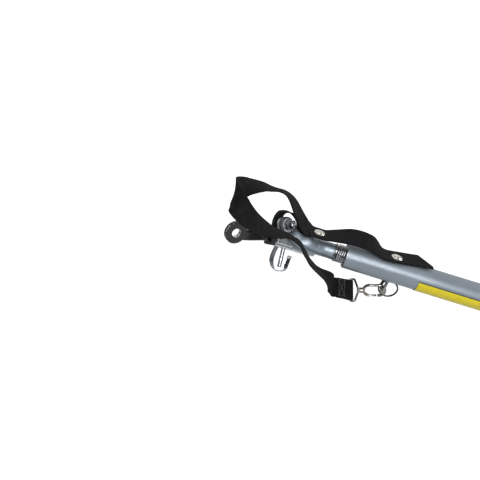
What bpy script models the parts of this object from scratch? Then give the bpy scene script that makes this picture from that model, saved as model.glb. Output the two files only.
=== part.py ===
"""Drawbar of a dog bike trailer, with its spring coupling and its hitch for a 10 mm axle.

Metres, +Z up. The origin is the centre of the drawbar's rear end face, where the drawbar plugs
into the trailer's frame. +X points out of that face, to the rear, and +Y to the right.

Two sloping frames carry the rest. The bar frame has its X along the front tube, rearwards from
the tube's mouth. The hitch frame has its X along the receiver, rearwards from the receiver's
mouth, and its Z along the lock pin. A hook frame has its X along the snap hook.
"""
from math import cos, pi, radians, sin, sqrt, tan

import bmesh
import bpy
from mathutils import Matrix, Vector

# The drawbar
TUBE_OD = 0.030
TUBE_WALL = 0.0016
FRONT_RUN = 0.250
REAR_RUN = 0.200
BEND_RADIUS = 0.090
BAR_YAW = radians(36.4)
BAR_SLOPE = radians(13.6)
CAP_FLANGE = 0.0030
CAP_PLUG = 0.0120
TAPE_START = 0.0870
TAPE_LENGTH = 0.1200
TAPE_THICKNESS = 0.0004
TAPE_ARC = radians(150)
TAPE_TURN = radians(-103)

# The spring coupling
SPRING_OD = 0.022
SPRING_WIRE = 0.0019
SPRING_PITCH = 0.0024
SPRING_SHOWN = 0.0130
SPRING_HIDDEN = 0.0120
FLEX_DEPTH = 0.0065
CORE_RADIUS = 0.0080
SEAT_FLANGE = 0.0014
SEAT_PLUG = 0.0120
ANCHOR_BACK = 0.0046
ANCHOR_NUB = 0.0100
ANCHOR_BEYOND_RIVET = 0.0100

# The bent arm
ARM_OD = 0.019
ARM_WALL = 0.0020
ARM_END = Vector((0.0688, -0.0310, 0.0030))
EYE_THICKNESS = 0.0060
EYE_RADIUS = 0.0110

# The receiver, its ear and its bolt
RECEIVER_SIZE = 0.0145
RECEIVER_WALL = 0.0017
RECEIVER_LENGTH = 0.0620
EAR_THICKNESS = 0.0025
EAR_RADIUS = 0.0105
EAR_LENGTH = 0.0240
BOLT_X = 0.0040
BOLT_RISE = 0.0180
BOLT_DIAMETER = 0.0070
BOLT_HEAD_DIAMETER = 0.0130
BOLT_HEAD_HEIGHT = 0.0020
WASHER_DIAMETER = 0.0160
WASHER_THICKNESS = 0.0014
NUT_FLATS = 0.0120
NUT_HEIGHT = 0.0050
NUT_DOME_RADIUS = 0.0050
HITCH_SLOPE = radians(28.4)
HITCH_ROLL = radians(22.0)

# The axle bracket, and the bush round its prong
AXLE_AT = Vector((-0.0488, 0.0025, -0.0061))
PLATE_THICKNESS = 0.0050
PLATE_RADIUS = 0.0130
AXLE_HOLE = 0.0105
NECK_WIDTH = 0.0130
PRONG_REACH = 0.0520
BUSH_LENGTH = 0.0056
BUSH_PROUD = 0.0006

# The lock pin and its bail
PIN_DIAMETER = 0.0050
PIN_X = 0.0185
PIN_BELOW = 0.0225
PIN_HEAD_DIAMETER = 0.0090
PIN_HEAD_HEIGHT = 0.0062
PIN_NECK = 0.0042
PIN_CAP_DIAMETER = 0.0076
PIN_CAP_HEIGHT = 0.0012
BAIL_WIDTH = 0.0064
BAIL_THICKNESS = 0.0010
BAIL_RIVET = 0.0022
BAIL_OFF = 0.0031
BAIL_DROP = 0.0044

# The straps and their rivets
STRAP_WIDTH = 0.025
STRAP_THICKNESS = 0.0020
TETHER_WIDTH = 0.0100
TETHER_THICKNESS = 0.0014
RIVET_HEAD = 0.0130
RIVET_RISE = 0.0022
RIVET_SHANK = 0.0050
REAR_RIVET_X = 0.0565
REAR_RIVET_DEPTH = 0.0080
FLAP_REACH = 0.0410
FLAP_ASIDE = 0.0080
FLAP_LIFT = 0.0030
FLAP_SLANT = radians(38)
STRAP_LEAVES = 0.0440
FRONT_RIVET = Vector((-0.0370, -0.0030, 0.0190))

# The eye under the tube, the snap hook, its swivel and the ring
LUG_X = 0.0560
LUG_WIRE = 0.0036
LUG_HALF = 0.0085
LUG_DROP = 0.0150
LUG_CORNER = 0.0035
HOOK_WIRE = 0.0036
HOOK_LENGTH = 0.0285
HOOK_HEIGHT = 0.0180
HOOK_TILT = radians(20)
HOOK_Y = -0.0022
NOSE_BACK = 0.0015
BOSS_LENGTH = 0.0032
BOSS_DIAMETER = 0.0068
GATE_WIRE = 0.0026
GATE_GAP = 0.0011
COLLAR_LENGTH = 0.0024
COLLAR_DIAMETER = 0.0084
SWIVEL_WIRE = 0.0026
SWIVEL_REACH = 0.0078
SWIVEL_ROLL = radians(35)
SEWN_LENGTH = 0.0180
SEWN_TILT = radians(7)
RING_OD = 0.0240
RING_WIRE = 0.0020
RING_TILT = radians(14)
RING_Y = 0.0034

# Clearances
SEATED = 0.0003
SLIDING = 0.0004
BOLT_CLEARANCE = 0.0003

# Sizes that follow from the ones above
TUBE_R = TUBE_OD / 2
BORE_R = TUBE_R - TUBE_WALL
ARM_R = ARM_OD / 2
ARM_BORE_R = ARM_R - ARM_WALL
SPRING_R = (SPRING_OD - SPRING_WIRE) / 2
ANCHOR_FACE = SPRING_HIDDEN + ANCHOR_BACK
HALF_RECEIVER = RECEIVER_SIZE / 2
HALF_PRONG = HALF_RECEIVER - RECEIVER_WALL - SLIDING
EAR_OUTER = -(HALF_RECEIVER + EAR_THICKNESS)
EAR_INNER = -HALF_RECEIVER + RECEIVER_WALL / 2
EYE_INNER = EAR_OUTER - SEATED
ARM_PLANE = EYE_INNER - ARM_R
EYE_PLANE = EYE_INNER - EYE_THICKNESS / 2
WASHER_OUTER = EYE_INNER - EYE_THICKNESS - SEATED - WASHER_THICKNESS
NUT_INNER = WASHER_OUTER - SEATED
BOLT_TAIL = NUT_INNER - NUT_HEIGHT * 0.8
BOLT_HOLE = BOLT_DIAMETER + 2 * BOLT_CLEARANCE
PIN_HOLE = PIN_DIAMETER + SLIDING
STRAP_SEAT = TUBE_R + SEATED + STRAP_THICKNESS / 2
TETHER_BELOW = STRAP_THICKNESS / 2 + SEATED + TETHER_THICKNESS / 2
RIVET_HOLE = RIVET_SHANK + 2 * SEATED
HEAD_LOW = HALF_RECEIVER + SEATED
HEAD_TOP = HEAD_LOW + PIN_HEAD_HEIGHT
TETHER_SEAT = HEAD_TOP + SEATED + TETHER_THICKNESS / 2
BAIL_PIVOT = Vector((PIN_X, 0, HEAD_LOW + PIN_HEAD_HEIGHT / 2))
LUG_BOTTOM = -(TUBE_R + LUG_DROP)
FLEX_POINT = Vector((FLEX_DEPTH, 0, 0))
CURL_POINTS = 10


# Start from an empty scene, with one collection for the parts and one for what cuts them
for old in list(bpy.data.objects):
    bpy.data.objects.remove(old, do_unlink=True)
for old in list(bpy.data.collections):
    bpy.data.collections.remove(old)
PARTS = bpy.data.collections.new("dog_trailer_drawbar_hitch")
CUTTERS = bpy.data.collections.new("cutters")
bpy.context.scene.collection.children.link(PARTS)
bpy.context.scene.collection.children.link(CUTTERS)


def turn(axis, angle):
    return Matrix.Rotation(angle, 4, axis)


def shift(x, y, z):
    return Matrix.Translation((x, y, z))


# The frames, as world matrices
WORLD = Matrix.Identity(4)
CORNER = Vector((-REAR_RUN, 0, 0))
BAR_TURN = turn("Z", -BAR_YAW) @ turn("Y", BAR_SLOPE)
MOUTH = CORNER - BAR_TURN @ Vector((FRONT_RUN, 0, 0))
BAR = Matrix.Translation(MOUTH) @ BAR_TURN
HITCH_TURN = turn("Y", HITCH_SLOPE) @ turn("X", -HITCH_ROLL)
HITCH = Matrix.Translation(BAR @ Vector((-SPRING_SHOWN, 0, 0)) - HITCH_TURN @ ARM_END) @ HITCH_TURN
PLATE = HITCH @ Matrix.Translation(AXLE_AT) @ turn("X", HITCH_ROLL)
BAR_IN_HITCH = HITCH.inverted() @ BAR
HOOK_BACK = HOOK_LENGTH / 2 - HOOK_WIRE - SEATED - LUG_WIRE / 2
HOOK = BAR @ shift(LUG_X, HOOK_Y, LUG_BOTTOM) @ turn("Y", -HOOK_TILT) @ shift(-HOOK_BACK, 0, 0)
ALONG_X = turn("Y", pi / 2)
ALONG_Y = turn("X", -pi / 2)


# Materials
def material(name, colour, roughness, metallic=0.0):
    mat = bpy.data.materials.new(name)
    mat.use_nodes = True
    shader = mat.node_tree.nodes["Principled BSDF"]
    shader.inputs["Base Color"].default_value = (*colour, 1)
    shader.inputs["Roughness"].default_value = roughness
    shader.inputs["Metallic"].default_value = metallic
    mat.diffuse_color = (*colour, 1)
    return mat


GREY_PAINT = material("grey_paint", (0.21, 0.25, 0.29), 0.35, 0.3)
ZINC = material("zinc_plate", (0.50, 0.53, 0.56), 0.32, 0.9)
NICKEL = material("nickel_plate", (0.62, 0.60, 0.56), 0.22, 1.0)
BLACK_STEEL = material("black_steel", (0.015, 0.015, 0.016), 0.40, 0.4)
SPRING_STEEL = material("spring_steel", (0.10, 0.10, 0.11), 0.35, 0.9)
BLACK_RUBBER = material("black_rubber", (0.02, 0.02, 0.02), 0.75)
BLACK_WEBBING = material("black_webbing", (0.022, 0.022, 0.024), 0.85)
YELLOW_TAPE = material("yellow_tape", (0.62, 0.55, 0.05), 0.40)
BLACK_PLASTIC = material("black_plastic", (0.03, 0.03, 0.03), 0.50)


# Empties that carry the parts. Each one's world place is kept for its children.
PLACE_OF = {}


def carrier(name, frame, parent=None):
    obj = bpy.data.objects.new(name, None)
    obj.empty_display_size = 0.01
    PARTS.objects.link(obj)
    PLACE_OF[obj.name] = frame
    put(obj, frame, parent)
    return obj


def put(obj, frame, parent):
    """Gives an object its world place, as a place under its parent."""
    obj.parent = parent
    inside = PLACE_OF[parent.name].inverted() @ frame if parent else frame
    obj.matrix_local = inside
    return obj


TRAILER_END = carrier("trailer_end", WORLD)
BAR_CARRIER = carrier("bar_frame", BAR, TRAILER_END)
FLEX_CARRIER = carrier("flex_joint", BAR @ Matrix.Translation(FLEX_POINT), BAR_CARRIER)
HITCH_CARRIER = carrier("hitch_frame", HITCH, FLEX_CARRIER)
BAIL_CARRIER = carrier("bail_pivot", HITCH @ Matrix.Translation(BAIL_PIVOT), HITCH_CARRIER)
HOOK_CARRIER = carrier("hook_swivel", HOOK, BAR_CARRIER)
HOOK_R = (HOOK_HEIGHT - HOOK_WIRE) / 2
HOOK_HALF = (HOOK_LENGTH - HOOK_HEIGHT) / 2
GATE = HOOK @ shift(-HOOK_HALF, 0, -HOOK_R)
GATE_CARRIER = carrier("gate_pivot", GATE, HOOK_CARRIER)
RING = BAR @ shift(LUG_X, RING_Y, LUG_BOTTOM) @ turn("Y", -RING_TILT)
RING_CARRIER = carrier("ring_pivot", RING, BAR_CARRIER)


# Shapes. Each is drawn in its own local frame and then put in its place.
def mesh_object(name, bm, group=PARTS):
    mesh = bpy.data.meshes.new(name)
    bm.normal_update()
    bm.to_mesh(mesh)
    bm.free()
    obj = bpy.data.objects.new(name, mesh)
    group.objects.link(obj)
    return obj


def rod(name, start, axis, length, radius, sides=24, group=PARTS, end_radius=None):
    """A cylinder or a cone from a start point along the local X, Y or Z."""
    lay = {"X": ALONG_X, "Y": ALONG_Y, "Z": WORLD}[axis]
    centre = Matrix.Translation(Vector(start)) @ lay @ shift(0, 0, length / 2)
    end = radius if end_radius is None else end_radius
    bm = bmesh.new()
    bmesh.ops.create_cone(
        bm, cap_ends=True, segments=sides, radius1=radius, radius2=end, depth=length, matrix=centre
    )
    return mesh_object(name, bm, group)


def box(name, low, high, group=PARTS):
    low, high = Vector(low), Vector(high)
    bm = bmesh.new()
    size = Matrix.Diagonal((*(high - low), 1))
    bmesh.ops.create_cube(bm, size=1, matrix=Matrix.Translation((low + high) / 2) @ size)
    return mesh_object(name, bm, group)


def ball(name, centre, radius, group=PARTS, rows=14):
    bm = bmesh.new()
    bmesh.ops.create_uvsphere(
        bm, u_segments=24, v_segments=rows, radius=radius, matrix=Matrix.Translation(centre)
    )
    return mesh_object(name, bm, group)


def turned(name, profile, steps=32, group=PARTS):
    """A turned solid on the local Z axis, from (radius, height) points that run downwards."""
    bm = bmesh.new()
    points = [bm.verts.new((radius, 0, height)) for radius, height in profile]
    for a, b in zip(points, points[1:]):
        bm.edges.new((a, b))
    obj = mesh_object(name, bm, group)
    screw = obj.modifiers.new("turned", "SCREW")
    screw.axis = "Z"
    screw.angle = 2 * pi
    screw.steps = steps
    screw.render_steps = steps
    screw.use_merge_vertices = True
    screw.merge_threshold = 0.00001
    return obj


def smooth_path(points, per_span):
    """A Catmull-Rom curve through the points, with so many steps from each point to the next."""
    pts = [Vector(p) for p in points]
    pts = [2 * pts[0] - pts[1]] + pts + [2 * pts[-1] - pts[-2]]
    out = []
    for i in range(1, len(pts) - 2):
        a, b, c, d = pts[i - 1 : i + 3]
        for k in range(per_span):
            t = k / per_span
            square = (2 * a - 5 * b + 4 * c - d) * t * t
            cube = (3 * b - a - 3 * c + d) * t ** 3
            out.append(0.5 * (2 * b + (c - a) * t + square + cube))
    out.append(pts[-2])
    return out


def rounded(corners, radius, steps):
    """A path through corner points, with an arc of the radius at each inner corner."""
    pts = [Vector(p) for p in corners]
    path = [pts[0]]
    for before, corner, after in zip(pts, pts[1:], pts[2:]):
        back = (before - corner).normalized()
        ahead = (after - corner).normalized()
        half = (pi - back.angle(ahead)) / 2
        centre = corner + (back + ahead).normalized() * (radius / cos(half))
        first = corner + back * radius * tan(half) - centre
        last = corner + ahead * radius * tan(half) - centre
        axis = first.cross(last).normalized()
        for k in range(steps + 1):
            path.append(centre + Matrix.Rotation(2 * half * k / steps, 3, axis) @ first)
    path.append(pts[-1])
    return path


def wire(name, points, radius, resolution=2, cyclic=False, group=PARTS, caps=True):
    """A round wire along a path: a curve with a bevel, made a mesh, closed where it has caps."""
    curve = bpy.data.curves.new(name, "CURVE")
    curve.dimensions = "3D"
    curve.bevel_depth = radius
    curve.bevel_resolution = resolution
    curve.use_fill_caps = caps and not cyclic
    spline = curve.splines.new("POLY")
    spline.points.add(len(points) - 1)
    for point, co in zip(spline.points, points):
        point.co = (*co, 1)
    spline.use_cyclic_u = cyclic
    drawn = bpy.data.objects.new(name + "_curve", curve)
    bpy.context.scene.collection.objects.link(drawn)
    bpy.context.view_layer.update()
    evaluated = drawn.evaluated_get(bpy.context.evaluated_depsgraph_get())
    mesh = bpy.data.meshes.new_from_object(evaluated)
    bpy.data.objects.remove(drawn, do_unlink=True)
    bpy.data.curves.remove(curve)
    bm = bmesh.new()
    bm.from_mesh(mesh)
    bpy.data.meshes.remove(mesh)
    bmesh.ops.remove_doubles(bm, verts=bm.verts, dist=0.00001)
    bmesh.ops.recalc_face_normals(bm, faces=bm.faces)
    return mesh_object(name, bm, group)


def ribbon(name, route, width, thickness, per_span=2, group=PARTS):
    """A flat strap: an open strip along a smooth path, given its thickness by Solidify.

    The route is a list of pairs: a point, and the direction of the strap's width there.
    """
    path = smooth_path([point for point, _ in route], per_span)
    widths = smooth_path([across for _, across in route], per_span)
    bm = bmesh.new()
    edges = []
    for i, centre in enumerate(path):
        along = path[min(i + 1, len(path) - 1)] - path[max(i - 1, 0)]
        along.normalize()
        side = (widths[i] - along * widths[i].dot(along)).normalized() * (width / 2)
        edges.append((bm.verts.new(centre + side), bm.verts.new(centre - side)))
    for (a, b), (c, d) in zip(edges, edges[1:]):
        bm.faces.new((a, b, d, c))
    obj = mesh_object(name, bm, group)
    solid = obj.modifiers.new("thickness", "SOLIDIFY")
    solid.thickness = thickness
    solid.offset = 0
    return obj


def section(bm, centre, side, up, half_width, half_height, power, sides=24):
    """A ring of a rounded section: power 1 is an ellipse, and less is nearer to a rectangle."""
    ring = []
    for k in range(sides):
        a = 2 * pi * (k + 0.5) / sides
        x = half_width * abs(cos(a)) ** power * (1 if cos(a) >= 0 else -1)
        y = half_height * abs(sin(a)) ** power * (1 if sin(a) >= 0 else -1)
        ring.append(bm.verts.new(centre + side * x + up * y))
    return ring


def loft(name, bm, rings, group=PARTS):
    """Skins a row of rings of as many points, and closes both ends."""
    for first, second in zip(rings, rings[1:]):
        for k in range(len(first)):
            n = (k + 1) % len(first)
            bm.faces.new((first[k], first[n], second[n], second[k]))
    bm.faces.new(rings[0])
    bm.faces.new(rings[-1])
    bmesh.ops.recalc_face_normals(bm, faces=bm.faces)
    return mesh_object(name, bm, group)


# Modifiers
def boolean(obj, tool, frame, operation):
    tool.hide_render = True
    tool.display_type = "WIRE"
    tool.matrix_world = frame
    mod = obj.modifiers.new(operation.lower() + "_" + tool.name, "BOOLEAN")
    mod.operation = operation
    mod.solver = "EXACT"
    mod.object = tool


def cut(obj, tool, frame):
    boolean(obj, tool, frame, "DIFFERENCE")


def join(obj, tool, frame):
    boolean(obj, tool, frame, "UNION")


def bevel(obj, width, segments=2):
    mod = obj.modifiers.new("edges", "BEVEL")
    mod.width = width
    mod.segments = segments
    mod.limit_method = "ANGLE"
    mod.angle_limit = radians(35)


def done(obj, mat, frame, parent, smooth_angle=35):
    obj.data.materials.append(mat)
    obj.data.shade_smooth()
    obj.data.set_sharp_from_angle(angle=radians(smooth_angle))
    return put(obj, frame, parent)


# The drawbar
def drawbar_tube():
    """A bent tube: its outer skin, with the wall inside it."""
    rear = Vector((-CAP_FLANGE - SEATED, 0, 0))
    path = rounded((MOUTH, CORNER, rear), BEND_RADIUS, 9)
    tube = wire("drawbar_tube", path, TUBE_R, 10, caps=False)
    wall = tube.modifiers.new("wall", "SOLIDIFY")
    wall.thickness = TUBE_WALL
    wall.offset = -1
    wall.use_even_offset = True
    hole = rod("tube_rivet_hole", (REAR_RIVET_X, 0, 0), "Z", TUBE_OD, RIVET_HOLE / 2, 20, CUTTERS)
    cut(tube, hole, BAR)
    done(tube, GREY_PAINT, WORLD, TRAILER_END)


def end_cap():
    plug = BORE_R - SEATED
    edge = 0.0010
    cap = turned("end_cap", [
        (0, 0),
        (TUBE_R - edge, 0),
        (TUBE_R, -edge),
        (TUBE_R, -CAP_FLANGE),
        (plug, -CAP_FLANGE),
        (plug, -CAP_FLANGE - CAP_PLUG + edge),
        (plug - edge, -CAP_FLANGE - CAP_PLUG),
        (0, -CAP_FLANGE - CAP_PLUG),
    ])
    done(cap, BLACK_PLASTIC, ALONG_X, TRAILER_END)


def reflective_tape():
    """A band of reflective tape round the near and lower side of the tube."""
    bm = bmesh.new()
    inner = TUBE_R + SEATED
    top = bm.verts.new((inner, 0, TAPE_START + TAPE_LENGTH))
    bottom = bm.verts.new((inner, 0, TAPE_START))
    bm.edges.new((top, bottom))
    tape = mesh_object("reflective_tape", bm)
    arc = tape.modifiers.new("arc", "SCREW")
    arc.axis = "Z"
    arc.angle = TAPE_ARC
    arc.steps = 20
    arc.render_steps = 20
    arc.merge_threshold = 0.00001
    skin = tape.modifiers.new("skin", "SOLIDIFY")
    skin.thickness = TAPE_THICKNESS
    skin.offset = 1
    done(tape, YELLOW_TAPE, BAR @ turn("X", TAPE_TURN) @ ALONG_X, BAR_CARRIER)


# The spring coupling
def spring_anchor():
    """The plug in the drawbar's mouth, with a nub for the core, held by the rear rivet."""
    nub_front = FLEX_DEPTH + CORE_RADIUS + SEATED
    back = REAR_RIVET_X + ANCHOR_BEYOND_RIVET
    plug = turned("spring_anchor", [
        (0, back),
        (BORE_R - SEATED, back),
        (BORE_R - SEATED, ANCHOR_FACE),
        (ANCHOR_NUB / 2, ANCHOR_FACE),
        (ANCHOR_NUB / 2, nub_front),
        (0, nub_front),
    ])
    depth = BORE_R - REAR_RIVET_DEPTH - SEATED
    hole = rod("anchor_rivet_hole", (REAR_RIVET_X, 0, depth), "Z", TUBE_R, RIVET_HOLE / 2, 20, CUTTERS)
    cut(plug, hole, BAR)
    done(plug, BLACK_PLASTIC, BAR @ ALONG_X, BAR_CARRIER)


def flex_core():
    """The hard rubber ball inside the spring, at the coupling's centre."""
    core = ball("flex_core", (0, 0, 0), CORE_RADIUS)
    done(core, BLACK_RUBBER, BAR @ Matrix.Translation(FLEX_POINT), FLEX_CARRIER)


def spring_points():
    """A helix on the bar's axis, whose ends run straight for one wire's thickness."""
    start = -SPRING_SHOWN + SEATED + SEAT_FLANGE + SEATED + SPRING_WIRE * 0.6
    end = SPRING_HIDDEN - SPRING_WIRE / 2
    turns = (end - start) / SPRING_PITCH
    count = round(turns * CURL_POINTS)
    points = []
    for k in range(count + 1):
        a = 2 * pi * turns * k / count
        x = start + (end - start) * k / count
        points.append(Vector((x, SPRING_R * cos(a), SPRING_R * sin(a))))
    first = (points[0] - points[1]).normalized() * SPRING_WIRE
    last = (points[-1] - points[-2]).normalized() * SPRING_WIRE
    return [points[0] + first] + points + [points[-1] + last], turns


def flex_spring():
    points, turns = spring_points()
    skip = CURL_POINTS - 2
    least = min((a - b).length for i, a in enumerate(points) for b in points[i + skip :])
    print(f"flex_spring: {turns:.1f} curls, least gap to itself {(least - SPRING_WIRE) * 1000:.2f} mm")
    spring = wire("flex_spring", points, SPRING_WIRE / 2, 1)
    done(spring, SPRING_STEEL, BAR, FLEX_CARRIER, 80)


def spring_seat():
    """The plug in the arm's end: a flange for the spring, and a spigot inside the spring."""
    face = -SPRING_SHOWN + SEATED
    spigot = SPRING_R * cos(pi / CURL_POINTS) - SPRING_WIRE / 2 - SEATED
    spigot_end = FLEX_DEPTH - CORE_RADIUS - SEATED
    plug = ARM_BORE_R - SEATED
    edge = 0.0012
    seat = turned("spring_seat", [
        (0, spigot_end),
        (spigot - 2 * edge, spigot_end),
        (spigot, spigot_end - edge),
        (spigot, face + SEAT_FLANGE),
        (SPRING_OD / 2, face + SEAT_FLANGE),
        (SPRING_OD / 2, face),
        (plug, face),
        (plug, face - SEAT_PLUG),
        (0, face - SEAT_PLUG),
    ])
    done(seat, BLACK_STEEL, BAR @ ALONG_X, FLEX_CARRIER)


# The bent arm
def tow_arm():
    """A round tube, bent outwards at the spring, whose other end is pressed flat for the bolt."""
    axis = BAR_IN_HITCH.to_3x3() @ Vector((1, 0, 0))
    corner = ARM_END - axis * ((ARM_END.y - ARM_PLANE) / axis.y)
    eye = Vector((BOLT_X, EYE_PLANE, BOLT_RISE))
    down = Vector((0.88, 0, -0.47)).normalized()
    shoulder = Vector((eye.x + 0.0300, ARM_PLANE, eye.z - 0.0140))
    points = [
        eye - down * EYE_RADIUS,
        eye,
        eye + down * 0.0110,
        eye.lerp(shoulder, 0.70),
        shoulder,
        shoulder.lerp(corner, 0.62),
        corner.lerp(ARM_END, 0.22),
        corner.lerp(ARM_END, 0.60),
        ARM_END,
    ]
    path = smooth_path(points, 4)
    flat_to, round_from = 8, 17
    bm = bmesh.new()
    rings = []
    for i, centre in enumerate(path):
        along = (path[min(i + 1, len(path) - 1)] - path[max(i - 1, 0)]).normalized()
        if i > len(path) - 5:
            along = axis
        side = Vector((0, 1, 0))
        side = (side - along * side.dot(along)).normalized()
        up = along.cross(side)
        t = min(max((i - flat_to) / (round_from - flat_to), 0), 1)
        t = t * t * (3 - 2 * t)
        height = EYE_RADIUS
        if i < 4:
            reach = min((centre - eye).length, EYE_RADIUS * 0.97)
            height = sqrt(EYE_RADIUS ** 2 - reach ** 2)
        thick = (1 - t) * EYE_THICKNESS / 2 + t * ARM_R
        height = (1 - t) * height + t * ARM_R
        if i <= 20:
            centre.y = EYE_INNER - thick
        rings.append(section(bm, centre, side, up, thick, height, 0.45 + 0.55 * t))
    arm = loft("tow_arm", bm, rings)
    hole = rod("arm_bolt_hole", (BOLT_X, 2 * EYE_PLANE, BOLT_RISE), "Y", -2 * EYE_PLANE,
               BOLT_HOLE / 2, 20, CUTTERS)
    cut(arm, hole, HITCH)
    depth = SEAT_PLUG + SLIDING
    bore = rod("arm_bore", (-SPRING_SHOWN - depth, 0, 0), "X", 2 * depth, ARM_BORE_R, 32, CUTTERS)
    cut(arm, bore, BAR)
    done(arm, GREY_PAINT, HITCH, HITCH_CARRIER)


def hitch_bolt():
    """The bolt through the arm's eye and the receiver's ear, with its flat head inboard."""
    head = EAR_INNER + SEATED
    bolt = rod("hitch_bolt", (BOLT_X, BOLT_TAIL, BOLT_RISE), "Y", head - BOLT_TAIL + 0.0002,
               BOLT_DIAMETER / 2)
    disc = rod("bolt_head", (BOLT_X, head, BOLT_RISE), "Y", BOLT_HEAD_HEIGHT,
               BOLT_HEAD_DIAMETER / 2, 28, CUTTERS)
    join(bolt, disc, HITCH)
    done(bolt, ZINC, HITCH, HITCH_CARRIER)


def hitch_washer():
    washer = rod("hitch_washer", (BOLT_X, WASHER_OUTER, BOLT_RISE), "Y", WASHER_THICKNESS,
                 WASHER_DIAMETER / 2, 32)
    hole = rod("washer_hole", (BOLT_X, 2 * WASHER_OUTER, BOLT_RISE), "Y", -2 * WASHER_OUTER,
               BOLT_HOLE / 2, 20, CUTTERS)
    cut(washer, hole, HITCH)
    done(washer, ZINC, HITCH, HITCH_CARRIER)


def hitch_nut():
    """The cap nut: a hexagon with a domed crown."""
    low = NUT_INNER - NUT_HEIGHT
    nut = rod("hitch_nut", (BOLT_X, low, BOLT_RISE), "Y", NUT_HEIGHT, NUT_FLATS / sqrt(3), 6)
    dome = ball("nut_dome", (BOLT_X, low, BOLT_RISE), NUT_DOME_RADIUS, CUTTERS, 12)
    join(nut, dome, HITCH)
    start = BOLT_TAIL - SEATED
    hole = rod("nut_hole", (BOLT_X, start, BOLT_RISE), "Y", -start, BOLT_HOLE / 2, 20, CUTTERS)
    cut(nut, hole, HITCH)
    done(nut, ZINC, HITCH, HITCH_CARRIER)


# The receiver: a square tube with an ear for the bolt on its near side
def receiver():
    half = HALF_RECEIVER
    inner = half - RECEIVER_WALL
    body = box("receiver", (0, -half, -half), (RECEIVER_LENGTH, half, half))
    bevel(body, RECEIVER_WALL, 3)
    bore = box("receiver_bore", (-half, -inner, -inner), (RECEIVER_LENGTH + half, inner, inner), CUTTERS)
    cut(body, bore, HITCH)
    join(body, ear(), HITCH)
    pin = rod("receiver_pin_hole", (PIN_X, 0, -RECEIVER_SIZE), "Z", 2 * RECEIVER_SIZE,
              PIN_HOLE / 2, 20, CUTTERS)
    cut(body, pin, HITCH)
    bolt = rod("ear_bolt_hole", (BOLT_X, 2 * EAR_OUTER, BOLT_RISE), "Y", -2 * EAR_OUTER,
               BOLT_HOLE / 2, 20, CUTTERS)
    cut(body, bolt, HITCH)
    done(body, ZINC, HITCH, HITCH_CARRIER)


def ear():
    """The ear's outline: wide on the receiver and round about the bolt, drawn out to a plate."""
    low = -HALF_RECEIVER + 2 * RECEIVER_WALL
    outline = [(SEATED, low), (EAR_LENGTH, low), (EAR_LENGTH, HALF_RECEIVER)]
    steps = 14
    start = radians(-20)
    for k in range(steps + 1):
        a = start + (pi - start) * k / steps
        outline.append((BOLT_X + EAR_RADIUS * cos(a), BOLT_RISE + EAR_RADIUS * sin(a)))
    outline.append((SEATED, HALF_RECEIVER))
    curve = bpy.data.curves.new("ear", "CURVE")
    curve.dimensions = "2D"
    curve.fill_mode = "BOTH"
    curve.extrude = (EAR_INNER - EAR_OUTER) / 2
    spline = curve.splines.new("POLY")
    spline.points.add(len(outline) - 1)
    for point, (x, z) in zip(spline.points, outline):
        point.co = (x, z, 0, 1)
    spline.use_cyclic_u = True
    drawn = bpy.data.objects.new("ear_curve", curve)
    bpy.context.scene.collection.objects.link(drawn)
    bpy.context.view_layer.update()
    evaluated = drawn.evaluated_get(bpy.context.evaluated_depsgraph_get())
    mesh = bpy.data.meshes.new_from_object(evaluated)
    bpy.data.objects.remove(drawn, do_unlink=True)
    bpy.data.curves.remove(curve)
    bm = bmesh.new()
    bm.from_mesh(mesh)
    bpy.data.meshes.remove(mesh)
    bmesh.ops.remove_doubles(bm, verts=bm.verts, dist=0.00001)
    stand = shift(0, (EAR_INNER + EAR_OUTER) / 2, 0) @ turn("X", pi / 2)
    bmesh.ops.transform(bm, matrix=stand, verts=bm.verts)
    bmesh.ops.recalc_face_normals(bm, faces=bm.faces)
    return mesh_object("ear_plate", bm, CUTTERS)


# The axle bracket
def axle_bracket():
    """An eye plate square to the axle, a twisted neck, and a square prong for the receiver."""
    half = HALF_PRONG
    neck_end = -0.0070
    prong = box("axle_bracket", (neck_end - half, -half, -half), (PRONG_REACH, half, half))
    bevel(prong, 0.0009, 1)
    square = (HITCH.inverted() @ PLATE).to_3x3()
    across = square @ Vector((0, 1, 0))
    upright = square @ Vector((0, 0, 1))
    start = AXLE_AT + across * (PLATE_THICKNESS / 2) + Vector((PLATE_RADIUS * 0.5, 0, 0))
    end = Vector((neck_end, 0, 0))
    bm = bmesh.new()
    rings = []
    stations = 7
    for k in range(stations + 1):
        t = k / stations
        ease = t * t * (3 - 2 * t)
        centre = Vector((start.x + (end.x - start.x) * t, 0, 0))
        centre.y = start.y + (end.y - start.y) * ease
        centre.z = start.z + (end.z - start.z) * ease
        side = across.lerp(Vector((0, 1, 0)), ease).normalized()
        up = upright.lerp(Vector((0, 0, 1)), ease).normalized()
        thick = (1 - ease) * PLATE_THICKNESS / 2 + ease * (half - 0.0002)
        height = (1 - ease) * NECK_WIDTH / 2 + ease * (half - 0.0002)
        rings.append(section(bm, centre, side, up, thick - 0.0001, height, 0.35, 20))
    join(prong, loft("neck", bm, rings, CUTTERS), HITCH)
    eye = rod("eye_plate", (0, 0, 0), "Y", PLATE_THICKNESS, PLATE_RADIUS, 40, CUTTERS)
    join(prong, eye, PLATE)
    hole = rod("axle_hole", (0, -PLATE_THICKNESS, 0), "Y", 3 * PLATE_THICKNESS, AXLE_HOLE / 2, 28, CUTTERS)
    cut(prong, hole, PLATE)
    pin = rod("prong_pin_hole", (PIN_X, 0, -RECEIVER_SIZE), "Z", 2 * RECEIVER_SIZE,
              PIN_HOLE / 2, 20, CUTTERS)
    cut(prong, pin, HITCH)
    done(prong, BLACK_STEEL, HITCH, HITCH_CARRIER)


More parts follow.
